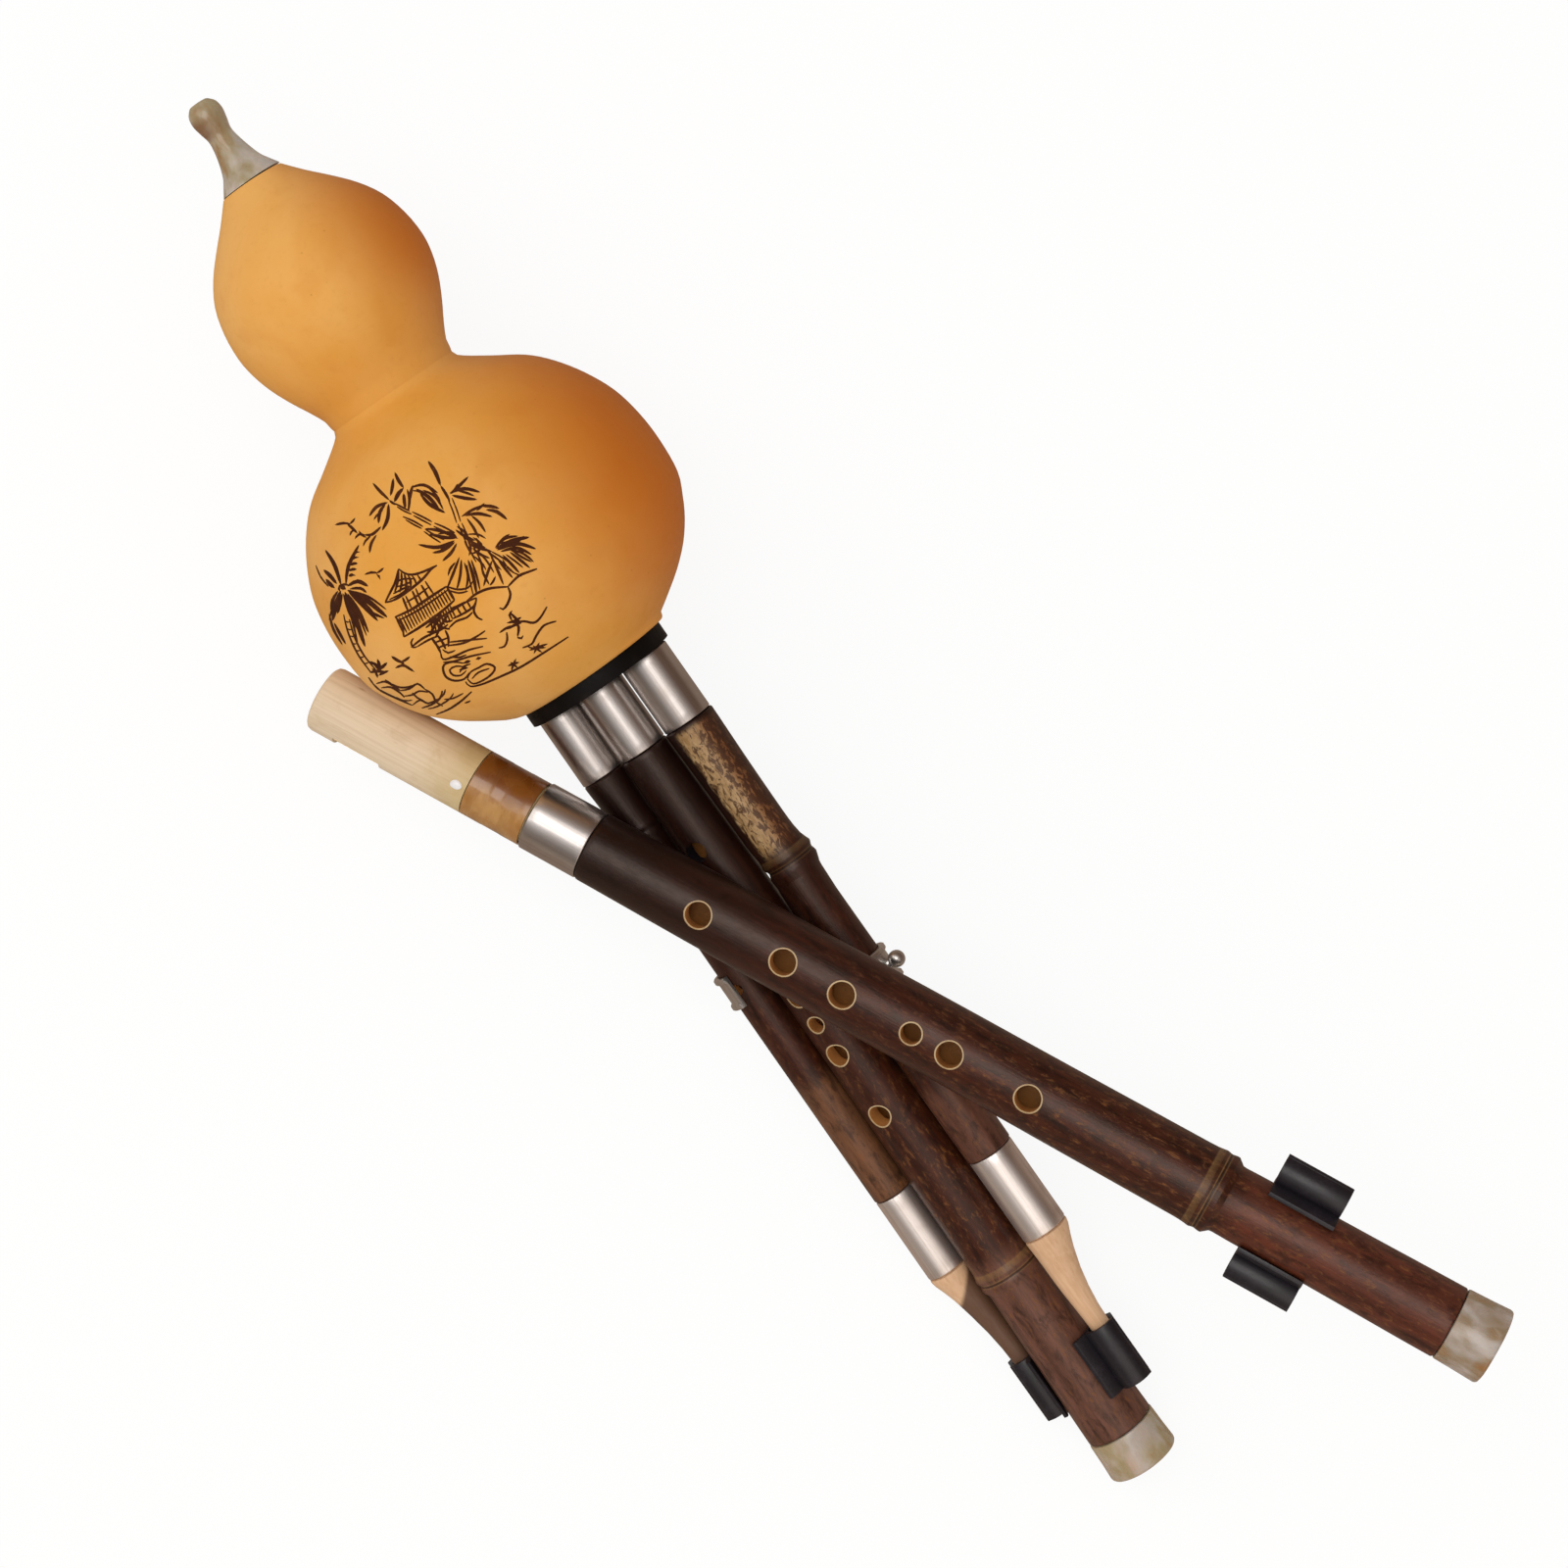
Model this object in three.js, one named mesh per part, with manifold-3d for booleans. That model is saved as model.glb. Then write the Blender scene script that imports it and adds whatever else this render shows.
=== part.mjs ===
// A hulusi: a gourd wind chest with a mouthpiece, a main pipe between two drone pipes,
// and a spare main pipe that lies across them. Millimetres, +Z up. The origin is on the
// surface that the instrument lies on, under the centre of the gourd's lower bulb, and
// +X runs from the gourd towards the open ends of the pipes.
import * as THREE from 'three';
import { mergeVertices } from 'three/addons/utils/BufferGeometryUtils.js';
import Module from 'manifold-3d';

const wasm = await Module();
wasm.setup();

// Clearances and cuts shared by the whole instrument.
const fitGap = 0.3;
const restGap = 0.4;
const overrun = 2;
const weldDistance = 1e-4;
const placingPasses = 6;

// Sides of the round pieces.
const bulbSides = 30;
const pipeSides = 20;
const smallSides = 14;

const gourd = {
  lowerRadius: 51.5,
  waistRadius: 19.3,
  upperRadius: 29.6,
  stemRadius: 9.2,
  mouthToLower: 38.3,
  lowerToWaist: 51.8,
  waistToUpper: 28.9,
  upperToStem: 36.2,
  wall: 3,
  restDepth: 1,
};

// Outlines of the gourd's four stretches: share of the stretch, share of the radius step.
const stemOutlineShares = [[0.14, 0.22], [0.28, 0.46], [0.43, 0.69], [0.6, 0.87], [0.8, 0.97], [1, 1]];
const shoulderOutlineShares = [[0.2, 0.93], [0.4, 0.76], [0.6, 0.5], [0.78, 0.22], [0.92, 0.03], [1, 0]];
const bellyOutlineShares = [[0.05, 0.013], [0.15, 0.24], [0.25, 0.48], [0.36, 0.65], [0.5, 0.803],
  [0.66, 0.925], [0.83, 0.985], [1, 1]];
const baseOutlineShares = [[0.25, 0.985], [0.41, 0.937], [0.55, 0.88], [0.69, 0.8], [0.82, 0.695],
  [0.93, 0.58], [1, 0.5]];
const outlineSamples = 28;

const mouthpiece = { length: 24.6, skirtRadius: 8.9, neckRadius: 3.7, ballRadius: 4.8, boreRadius: 1.5,
  shankRadius: 3, shankLength: 6 };
// Outline of the mouthpiece: share of its length, then of the step from neck to skirt ...
const skirtOutlineShares = [[0.1, 0.72], [0.2, 0.42], [0.36, 0.17], [0.57, 0]];
// ... and share of its length, then of the ball's radius.
const ballOutlineShares = [[0.7, 0.893], [0.82, 1], [0.92, 0.93], [0.98, 0.7]];

const collar = { flangeThickness: 6, bossLength: 8, rimWall: 0.5, lip: 0.5 };

// Ridges of a bamboo node: share of its half length, then share of its rise.
const nodeRidgeShares = [[-0.4, 1], [0, 0.4], [0.4, 0.8]];

// Values that the four pipes share.
const pipeFit = { ferruleWall: 0.6, wrapStep: 0.35, wrapThickness: 0.6, spigotLength: 8, edgeRound: 1.2 };
const reed = { length: 14, thickness: 0.4, inset: 0.05, slit: 0.3, windowMargin: 1.2, fromTailEnd: 9 };
const reedWidthShare = 0.75;
const holder = { length: 19, outerRadius: 4.8, innerRadius: 3.7, slotHeight: 5.4, footThickness: 1.4,
  sink: 0.4 };
const holderFootSpan = THREE.MathUtils.degToRad(38);

const mainPipe = {
  length: 265, boreRadius: 4.4, openBoreRadius: 6.2,
  ferruleRadius: 7, ferruleLength: 21.4,
  topRadius: 7.2, middleRadius: 9.3, nodeFromEnd: 67.5, nodeRise: 0.6, nodeHalfLength: 3.5,
  belowNodeRadius: 9, endRadius: 9.9, ringRadius: 10.2, ringFlare: 0.5, ringLength: 12.4,
  tailLength: 44, wrapLength: 18.5,
  holeRadius: 3.1, smallHoleRadius: 2.3, thumbHoleAt: 36,
  holderFromEnd: 42, roll: THREE.MathUtils.degToRad(36), reedTurn: 0,
};
const mainHoleAt = [52.2, 75.4, 100.2, 120, 140.5];
const mainSmallHoleAt = [109.7];

const sparePipe = {
  length: 290.6, boreRadius: 5.6, openBoreRadius: 7,
  ferruleRadius: 9.8, ferruleLength: 17.5,
  topRadius: 9.9, middleRadius: 10.85, nodeFromEnd: 83.5, nodeRise: 0.6, nodeHalfLength: 4,
  belowNodeRadius: 9.6, endRadius: 10.1, ringRadius: 10.3, ringFlare: 0.7, ringLength: 13.4,
  tailLength: 48.6, wrapLength: 18.5,
  holeRadius: 3.6, smallHoleRadius: 2.9, thumbHoleAt: 38,
  holderFromEnd: 70.5, roll: THREE.MathUtils.degToRad(12), reedTurn: THREE.MathUtils.degToRad(75),
};
const spareHoleAt = [53.3, 79.3, 97.2, 129.7, 153.4];
const spareSmallHoleAt = [118.2];

const leftDrone = {
  side: -1, boreRadius: 2.9, tailLength: 34, wrapLength: 18.5, reedTurn: 0,
  ferruleRadius: 6.5, ferruleLength: 21.4, topRadius: 6.4, middleRadius: 6,
  lowerFerruleRadius: 5.9, lowerFerruleLength: 26.3, plugReach: 33.7,
  nodeAt: 40, nodeRise: 0.35, nodeHalfLength: 3,
  clipAt: 84.5, clipLength: 12.4, knobRadius: 0,
  gapAtCollar: 0.5, rollAtCollar: THREE.MathUtils.degToRad(25), rollAtEnd: THREE.MathUtils.degToRad(24),
};
const rightDrone = {
  side: 1, boreRadius: 3.4, tailLength: 34, wrapLength: 18.5, reedTurn: 0,
  ferruleRadius: 7.2, ferruleLength: 21.4, topRadius: 7.3, middleRadius: 6.7,
  lowerFerruleRadius: 6.7, lowerFerruleLength: 26.5, plugReach: 30.7,
  nodeAt: 68.5, nodeRise: 0.5, nodeHalfLength: 4.5,
  clipAt: 101.6, clipLength: 10.2, knobRadius: 2.4,
  gapAtCollar: 0.9, rollAtCollar: THREE.MathUtils.degToRad(15), rollAtEnd: THREE.MathUtils.degToRad(28),
};

const clip = { thickness: 0.8, rimRise: 0.7, rimLength: 1.6, holeRadius: 1.6 };
const clipHalfSpan = THREE.MathUtils.degToRad(85);
const clipHoleTurn = THREE.MathUtils.degToRad(55);

const plug = { tipRadius: 2.9, shankLength: 5.5, tipDepth: 10, clearance: 0.5 };
const plugLengthShares = [0.06, 0.15, 0.27, 0.47, 0.66, 0.85, 1];
const plugNarrowShares = [0.06, 0.22, 0.41, 0.67, 0.85, 0.96, 1];

const mainYaw = THREE.MathUtils.degToRad(0.53);
const mainOffset = 0.4;
const spareYaw = THREE.MathUtils.degToRad(26.75);
const sparePitch = THREE.MathUtils.degToRad(7.4);
const tailEndToBulb = 26.1;

const lipLength = collar.flangeThickness + fitGap;
const pipeStart = gourd.mouthToLower + lipLength + fitGap;

// Every piece's colour and finish.
const finishes = {
  gourd: [0xd89a45, 0.45, 0], horn: [0xb9ad92, 0.3, 0], black: [0x17171a, 0.5, 0],
  bamboo: [0x38190e, 0.35, 0], metal: [0xb9b6b4, 0.28, 1], paleWood: [0xd9bc88, 0.6, 0],
  amber: [0x9a6f23, 0.35, 0], brass: [0xb08d3f, 0.35, 1],
};

function material(name) {
  const [color, roughness, metalness] = finishes[name];
  return new THREE.MeshStandardMaterial({ color, roughness, metalness });
}

// A closed three.js geometry as a solid, with collapsed triangles at its poles left out.
function toSolid(geometry) {
  const plain = geometry.clone();
  for (const name of Object.keys(plain.attributes)) {
    if (name !== 'position') plain.deleteAttribute(name);
  }
  const merged = mergeVertices(plain, weldDistance);
  const index = merged.index.array;
  const kept = [];
  for (let i = 0; i < index.length; i += 3) {
    const [a, b, c] = [index[i], index[i + 1], index[i + 2]];
    if (a !== b && b !== c && c !== a) kept.push(a, b, c);
  }
  const vertProperties = new Float32Array(merged.attributes.position.array);
  return new wasm.Manifold(new wasm.Mesh({ numProp: 3, vertProperties, triVerts: new Uint32Array(kept) }));
}

function toGeometry(solid) {
  const mesh = solid.getMesh();
  const geometry = new THREE.BufferGeometry();
  geometry.setAttribute('position', new THREE.BufferAttribute(new Float32Array(mesh.vertProperties), 3));
  geometry.setIndex(new THREE.BufferAttribute(new Uint32Array(mesh.triVerts), 1));
  geometry.computeVertexNormals();
  return geometry;
}

function addPiece(group, name, solid, finish) {
  const mesh = new THREE.Mesh(toGeometry(solid), material(finish));
  mesh.name = name;
  group.add(mesh);
  return mesh;
}

// A turned solid about the X axis, from a closed outline of [x, radius] points. The points
// are put in the order that makes its faces point out.
function turned(outline, sides) {
  let area = 0;
  outline.forEach(([x, r], i) => {
    const [nextX, nextR] = outline[(i + 1) % outline.length];
    area += x * nextR - nextX * r;
  });
  const ordered = area > 0 ? outline.slice().reverse() : outline.slice();
  const points = ordered.map(([x, r]) => new THREE.Vector2(r, x));
  points.push(points[0].clone());
  return toSolid(new THREE.LatheGeometry(points, sides).rotateZ(-Math.PI / 2));
}

// A cylinder along X from one x to another.
function rod(fromX, toX, radius, sides) {
  const shape = new THREE.CylinderGeometry(radius, radius, toX - fromX, sides);
  shape.rotateZ(-Math.PI / 2).translate((fromX + toX) / 2, 0, 0);
  return shape;
}

function block(lengthX, widthY, heightZ, x, y, z) {
  return new THREE.BoxGeometry(lengthX, widthY, heightZ).translate(x, y, z);
}

// A smooth tube of ellipses along X, each given by x, centre y, centre z and radius.
function lofted(sections, sides) {
  const positions = [];
  const index = [];
  for (const { x, y, z, radius } of sections) {
    for (let i = 0; i < sides; i += 1) {
      const angle = (2 * Math.PI * i) / sides;
      positions.push(x, y + radius * Math.cos(angle), z + radius * Math.sin(angle));
    }
  }
  for (let ring = 0; ring + 1 < sections.length; ring += 1) {
    for (let i = 0; i < sides; i += 1) {
      const a = ring * sides + i;
      const b = ring * sides + ((i + 1) % sides);
      index.push(a, b, a + sides, b, b + sides, a + sides);
    }
  }
  const first = sections[0];
  const last = sections[sections.length - 1];
  const firstCentre = positions.length / 3;
  positions.push(first.x, first.y, first.z, last.x, last.y, last.z);
  const lastRing = (sections.length - 1) * sides;
  for (let i = 0; i < sides; i += 1) {
    const next = (i + 1) % sides;
    index.push(firstCentre, next, i, firstCentre + 1, lastRing + i, lastRing + next);
  }
  const geometry = new THREE.BufferGeometry();
  geometry.setAttribute('position', new THREE.Float32BufferAttribute(positions, 3));
  geometry.setIndex(index);
  return toSolid(geometry);
}

// A copy of a solid, moved by a matrix that only turns and shifts it.
function moved(solid, matrix) {
  return toSolid(toGeometry(solid).applyMatrix4(matrix));
}

// The radius of an outline at x, read along its points in order of x.
function radiusAt(outline, x) {
  for (let i = 0; i + 1 < outline.length; i += 1) {
    const [x0, r0] = outline[i];
    const [x1, r1] = outline[i + 1];
    if (x >= x0 && x <= x1 && x1 > x0) return r0 + ((r1 - r0) * (x - x0)) / (x1 - x0);
  }
  return outline[outline.length - 1][1];
}

// How far a turned outline reaches from its origin in a direction, given its axis.
function reachTowards(outline, direction, axis) {
  const along = direction.dot(axis);
  const outward = Math.sqrt(1 - along ** 2);
  return Math.max(...outline.map(([x, r]) => x * along + r * outward));
}

function widestBetween(outline, fromX, toX) {
  const inside = outline.filter(([x]) => x > fromX && x < toX).map(([, r]) => r);
  return Math.max(radiusAt(outline, fromX), radiusAt(outline, toX), ...inside);
}

// The gourd's outer outline, from the stem to the mouth, as [x, radius] points.
function gourdOutline() {
  const waistX = -gourd.lowerToWaist;
  const upperX = waistX - gourd.waistToUpper;
  const stemX = upperX - gourd.upperToStem;
  const stretch = (shares, startX, length, baseRadius, step) => shares.map(
    ([along, rise]) => [startX + along * length, baseRadius + rise * step]);
  const points = [
    [stemX, gourd.stemRadius],
    ...stretch(stemOutlineShares, stemX, gourd.upperToStem, gourd.stemRadius,
      gourd.upperRadius - gourd.stemRadius),
    ...stretch(shoulderOutlineShares, upperX, gourd.waistToUpper, gourd.waistRadius,
      gourd.upperRadius - gourd.waistRadius),
    ...stretch(bellyOutlineShares, waistX, gourd.lowerToWaist, gourd.waistRadius,
      gourd.lowerRadius - gourd.waistRadius),
    ...stretch(baseOutlineShares, 0, gourd.mouthToLower, 0, gourd.lowerRadius),
  ];
  const curve = new THREE.SplineCurve(points.map(([x, r]) => new THREE.Vector2(x, r)));
  return curve.getPoints(outlineSamples).map((point) => [point.x, point.y]);
}

// A melody pipe's node and holders are measured back from its open end, a drone's node is
// measured from the collar, and its lower ferrule back from the main pipe's holders.
function nodePlace(spec) {
  return spec.nodeFromEnd ? spec.length - spec.nodeFromEnd : spec.nodeAt;
}

function holderStart(spec) {
  return spec.length - spec.holderFromEnd;
}

function lowerFerruleEnd(spec) {
  return holderStart(mainPipe) - spec.plugReach;
}

function lowerFerruleStart(spec) {
  return lowerFerruleEnd(spec) - spec.lowerFerruleLength;
}

// Bamboo outline: a tenon in the ferrule, a slow taper, and a node with two ridges.
function bambooOutline(spec, bodyEnd) {
  const tenon = spec.ferruleRadius - pipeFit.ferruleWall - fitGap;
  const nodeAt = nodePlace(spec);
  const beforeNode = nodeAt - spec.nodeHalfLength;
  const afterNode = nodeAt + spec.nodeHalfLength;
  const below = spec.belowNodeRadius ?? spec.middleRadius;
  const lineAt = (x) => spec.topRadius + ((spec.middleRadius - spec.topRadius) * x) / nodeAt;
  return [
    [fitGap, tenon],
    [spec.ferruleLength, tenon],
    [spec.ferruleLength + fitGap, spec.topRadius],
    [beforeNode, lineAt(beforeNode)],
    ...nodeRidgeShares.map(([along, rise]) => [nodeAt + along * spec.nodeHalfLength,
      spec.middleRadius + rise * spec.nodeRise]),
    [afterNode, below],
    [bodyEnd, spec.endRadius ?? spec.middleRadius],
  ];
}

// Round holes through one wall, facing away from the pipe's axis at an angle from +Z.
function wallHoles(solid, places, radius, reach, turn) {
  let result = solid;
  for (const x of places) {
    const drill = new THREE.CylinderGeometry(radius, radius, reach, smallSides);
    drill.rotateX(Math.PI / 2).translate(0, 0, reach / 2).rotateX(turn).translate(x, 0, 0);
    result = result.subtract(toSolid(drill));
  }
  return result;
}

function ferrule(radius, fromX, length) {
  const inner = radius - pipeFit.ferruleWall;
  const endX = fromX + length;
  return turned([[fromX, inner], [fromX, radius], [endX, radius], [endX, inner]], pipeSides);
}

// The tail goes into the gourd. It is closed at its far end and has a slot for the reed.
function tailAndReed(group, spec, prefix) {
  const outer = spec.ferruleRadius - pipeFit.wrapStep;
  const under = outer - pipeFit.wrapThickness - fitGap;
  const spigot = spec.boreRadius - fitGap;
  const bore = spigot - pipeFit.ferruleWall;
  const endX = -spec.wrapLength - spec.tailLength;
  const solid = turned([
    [endX, 0], [endX, outer - pipeFit.edgeRound], [endX + pipeFit.edgeRound, outer],
    [-spec.wrapLength, outer], [-spec.wrapLength, under], [0, under], [0, spigot],
    [pipeFit.spigotLength, spigot], [pipeFit.spigotLength, bore],
    [endX + gourd.wall, bore], [endX + gourd.wall, 0],
  ], pipeSides);
  const width = reedWidthShare * outer;
  const top = Math.sqrt(outer ** 2 - (width / 2) ** 2) - reed.inset;
  const floor = top - reed.thickness - fitGap;
  const middle = endX + reed.fromTailEnd + reed.length / 2;
  const recessHeight = outer - floor + overrun;
  const recess = block(reed.length + 2 * fitGap, width + 2 * fitGap, recessHeight, middle, 0,
    floor + recessHeight / 2);
  const windowWidth = width - 2 * reed.windowMargin;
  const window = block(reed.length - 2 * reed.windowMargin, windowWidth, floor + overrun, middle, 0,
    (floor + overrun) / 2);
  const cut = [recess, window].reduce(
    (left, tool) => left.subtract(toSolid(tool.rotateX(spec.reedTurn))), solid);
  addPiece(group, `${prefix}_tail`, cut, 'paleWood');
  const plate = reedPlate(width, windowWidth).translate(middle, 0, top - reed.thickness);
  addPiece(group, `${prefix}_reed`, toSolid(plate.rotateX(spec.reedTurn)), 'brass');
  const wrapOutline = [[fitGap - spec.wrapLength, under + fitGap], [fitGap - spec.wrapLength, outer],
    [-fitGap, outer], [-fitGap, under + fitGap]];
  addPiece(group, `${prefix}_wrap`, turned(wrapOutline, pipeSides), 'amber');
}

// A reed plate whose tongue is cut free on three sides.
function reedPlate(width, windowWidth) {
  const halfLength = reed.length / 2;
  const shape = new THREE.Shape();
  shape.moveTo(-halfLength, -width / 2).lineTo(halfLength, -width / 2);
  shape.lineTo(halfLength, width / 2).lineTo(-halfLength, width / 2).closePath();
  const farX = halfLength - reed.windowMargin;
  const halfTongue = windowWidth / 2 - reed.slit;
  const slit = new THREE.Path();
  slit.moveTo(-farX, -halfTongue).lineTo(farX - reed.slit, -halfTongue);
  slit.lineTo(farX - reed.slit, halfTongue).lineTo(-farX, halfTongue);
  slit.lineTo(-farX, halfTongue + reed.slit).lineTo(farX, halfTongue + reed.slit);
  slit.lineTo(farX, -halfTongue - reed.slit).lineTo(-farX, -halfTongue - reed.slit).closePath();
  shape.holes.push(slit);
  return new THREE.ExtrudeGeometry(shape, { depth: reed.thickness, bevelEnabled: false });
}

// The radius that a holder's foot sits on, and the distance of its channel from the pipe's axis.
function holderSeat(spec, outline) {
  const fromX = holderStart(spec);
  const seat = widestBetween(outline, fromX, fromX + holder.length) + fitGap;
  return { seat, reach: seat + holder.outerRadius - holder.sink };
}

// A clip-shaped holder on a pipe's flank, with a level slot that faces outwards.
function holderSolid(spec, outline, side) {
  const { seat, reach } = holderSeat(spec, outline);
  const fromX = holderStart(spec);
  const foot = new THREE.Shape();
  foot.absarc(0, 0, seat, -holderFootSpan, holderFootSpan, false);
  foot.absarc(0, 0, seat + holder.footThickness, holderFootSpan, -holderFootSpan, true);
  foot.closePath();
  const extrudeX = (shape) => new THREE.ExtrudeGeometry(shape, {
    depth: holder.length, bevelEnabled: false, curveSegments: smallSides / 2,
  }).rotateZ(Math.PI / 2).rotateY(Math.PI / 2).translate(fromX, 0, 0);
  const toX = fromX + holder.length;
  const tube = rod(fromX, toX, holder.outerRadius, smallSides).translate(0, reach, 0);
  const bore = rod(fromX - overrun, toX + overrun, holder.innerRadius, smallSides).translate(0, reach, 0);
  const slotDepth = holder.outerRadius + overrun;
  const slot = block(holder.length + 2 * overrun, slotDepth, holder.slotHeight, (fromX + toX) / 2,
    slotDepth / 2, 0).rotateX(-side * spec.roll).translate(0, reach, 0);
  const pipeSpace = rod(fromX - overrun, toX + overrun, seat, pipeSides);
  const solid = [pipeSpace, bore, slot].reduce((left, tool) => left.subtract(toSolid(tool)),
    toSolid(extrudeX(foot)).add(toSolid(tube)));
  return side > 0 ? solid : mirrored(solid);
}

// A copy mirrored in the XZ plane, with its triangles turned so that its faces still point out.
function mirrored(solid) {
  const geometry = toGeometry(solid).scale(1, -1, 1);
  const index = geometry.index.array;
  for (let i = 0; i < index.length; i += 3) {
    [index[i], index[i + 1]] = [index[i + 1], index[i]];
  }
  return toSolid(geometry);
}

function melodyOutline(spec) {
  return bambooOutline(spec, spec.length - spec.ringLength);
}

// A melody pipe: bamboo with finger holes, ferrule, tail, wrap, reed, horn ring, two holders.
function melodyPipe(spec, prefix, holeAt, smallHoleAt) {
  const group = new THREE.Group();
  const outline = melodyOutline(spec);
  const bodyEnd = spec.length - spec.ringLength;
  const ringSeat = spec.openBoreRadius + (spec.endRadius - spec.openBoreRadius) / 2;
  const tenonEnd = bodyEnd + spec.ringLength / 2;
  const body = turned([
    ...outline, [bodyEnd, ringSeat], [tenonEnd, ringSeat], [tenonEnd, spec.openBoreRadius],
    [nodePlace(spec), spec.openBoreRadius], [nodePlace(spec), spec.boreRadius], [fitGap, spec.boreRadius],
  ], pipeSides);
  const reach = spec.middleRadius + overrun;
  const drilled = wallHoles(wallHoles(wallHoles(body, holeAt, spec.holeRadius, reach, 0),
    smallHoleAt, spec.smallHoleRadius, reach, 0), [spec.thumbHoleAt], spec.holeRadius, reach, Math.PI);
  addPiece(group, `${prefix}_bamboo`, drilled, 'bamboo');
  addPiece(group, `${prefix}_ferrule`, ferrule(spec.ferruleRadius, fitGap,
    spec.ferruleLength - fitGap), 'metal');
  tailAndReed(group, spec, prefix);
  const ringFrom = bodyEnd + fitGap;
  const rounded = spec.length - pipeFit.edgeRound;
  const flared = spec.ringRadius + spec.ringFlare;
  const ring = turned([
    [ringFrom, ringSeat + fitGap], [ringFrom, spec.ringRadius], [rounded, flared],
    [spec.length, flared - pipeFit.edgeRound], [spec.length, spec.openBoreRadius],
    [tenonEnd + fitGap, spec.openBoreRadius], [tenonEnd + fitGap, ringSeat + fitGap],
  ], pipeSides);
  addPiece(group, `${prefix}_horn_ring`, ring, 'horn');
  addPiece(group, `${prefix}_left_holder`, holderSolid(spec, outline, -1), 'black');
  addPiece(group, `${prefix}_right_holder`, holderSolid(spec, outline, 1), 'black');
  return group;
}

// A spring clip that turns on the drone and covers or frees a small hole.
function muteClip(spec) {
  const inner = spec.middleRadius + fitGap;
  const outer = inner + clip.thickness;
  const rim = outer + clip.rimRise;
  const endX = spec.clipAt + clip.rimLength;
  const farX = spec.clipAt + spec.clipLength;
  const ring = turned([
    [spec.clipAt, inner], [spec.clipAt, rim], [endX, rim], [endX, outer],
    [farX - clip.rimLength, outer], [farX - clip.rimLength, rim], [farX, rim], [farX, inner],
  ], pipeSides);
  const wedge = new THREE.Shape();
  const far = rim + overrun;
  wedge.moveTo(0, 0);
  wedge.absarc(0, 0, far, clipHalfSpan, 2 * Math.PI - clipHalfSpan, false);
  wedge.closePath();
  const cutter = new THREE.ExtrudeGeometry(wedge, {
    depth: spec.clipLength + 2 * overrun, bevelEnabled: false, curveSegments: smallSides,
  }).rotateZ(Math.PI / 2).rotateY(Math.PI / 2).translate(spec.clipAt - overrun, 0, 0);
  let solid = ring.subtract(toSolid(cutter));
  if (spec.knobRadius > 0) {
    const knobX = spec.clipAt + spec.clipLength / 2;
    const reach = outer + spec.knobRadius;
    const ball = new THREE.SphereGeometry(spec.knobRadius, smallSides, smallSides / 2);
    const stemFoot = inner + clip.thickness / 2;
    const stemLength = reach - stemFoot;
    const stem = new THREE.CylinderGeometry(spec.knobRadius / 2, spec.knobRadius / 2, stemLength, smallSides);
    stem.translate(knobX, stemFoot + stemLength / 2, 0);
    solid = solid.add(toSolid(ball.translate(knobX, reach, 0))).add(toSolid(stem));
  }
  return spec.side > 0 ? solid : mirrored(solid);
}

// A drone pipe without its plug.
function dronePipe(spec, prefix) {
  const group = new THREE.Group();
  const lowerStart = lowerFerruleStart(spec);
  const lowerTenon = spec.lowerFerruleRadius - pipeFit.ferruleWall - fitGap;
  const tenonEnd = lowerFerruleEnd(spec) - plug.shankLength - fitGap;
  const outline = bambooOutline(spec, lowerStart - fitGap);
  const body = turned([
    ...outline, [lowerStart - fitGap, lowerTenon], [tenonEnd, lowerTenon],
    [tenonEnd, spec.boreRadius], [fitGap, spec.boreRadius],
  ], pipeSides);
  const clipMiddle = spec.clipAt + spec.clipLength / 2;
  const holeTurn = -spec.side * (Math.PI / 2 - clipHoleTurn);
  const drilled = wallHoles(body, [clipMiddle], clip.holeRadius, spec.middleRadius + overrun, holeTurn);
  addPiece(group, `${prefix}_bamboo`, drilled, 'bamboo');
  addPiece(group, `${prefix}_upper_ferrule`, ferrule(spec.ferruleRadius, fitGap,
    spec.ferruleLength - fitGap), 'metal');
  addPiece(group, `${prefix}_lower_ferrule`, ferrule(spec.lowerFerruleRadius, lowerStart,
    spec.lowerFerruleLength), 'metal');
  tailAndReed(group, spec, prefix);
  const clipMesh = addPiece(group, `${prefix}_mute_clip`, muteClip(spec), 'metal');
  clipMesh.rotation.x = spec.side * spec.rollAtEnd;
  return group;
}

// Places a drone beside the main pipe: its collar end and its lower ferrule are set by
// the radii there, a gap and the roll of the row of pipes about the main pipe.
function placeDrone(group, spec, outline) {
  const beside = (distance, roll) => new THREE.Vector3(0, spec.side * distance * Math.cos(roll),
    spec.side * distance * Math.sin(roll));
  const top = beside(mainPipe.ferruleRadius + spec.ferruleRadius + spec.gapAtCollar, spec.rollAtCollar);
  const [lowerStart, lowerEnd] = [lowerFerruleStart(spec), lowerFerruleEnd(spec)];
  const widest = widestBetween(outline, lowerStart, lowerEnd);
  const low = beside(widest + spec.lowerFerruleRadius + restGap, spec.rollAtEnd);
  low.x = (lowerStart + lowerEnd) / 2;
  const along = low.clone().sub(top).normalize();
  group.position.copy(top);
  group.quaternion.setFromUnitVectors(new THREE.Vector3(1, 0, 0), along);
}

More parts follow.
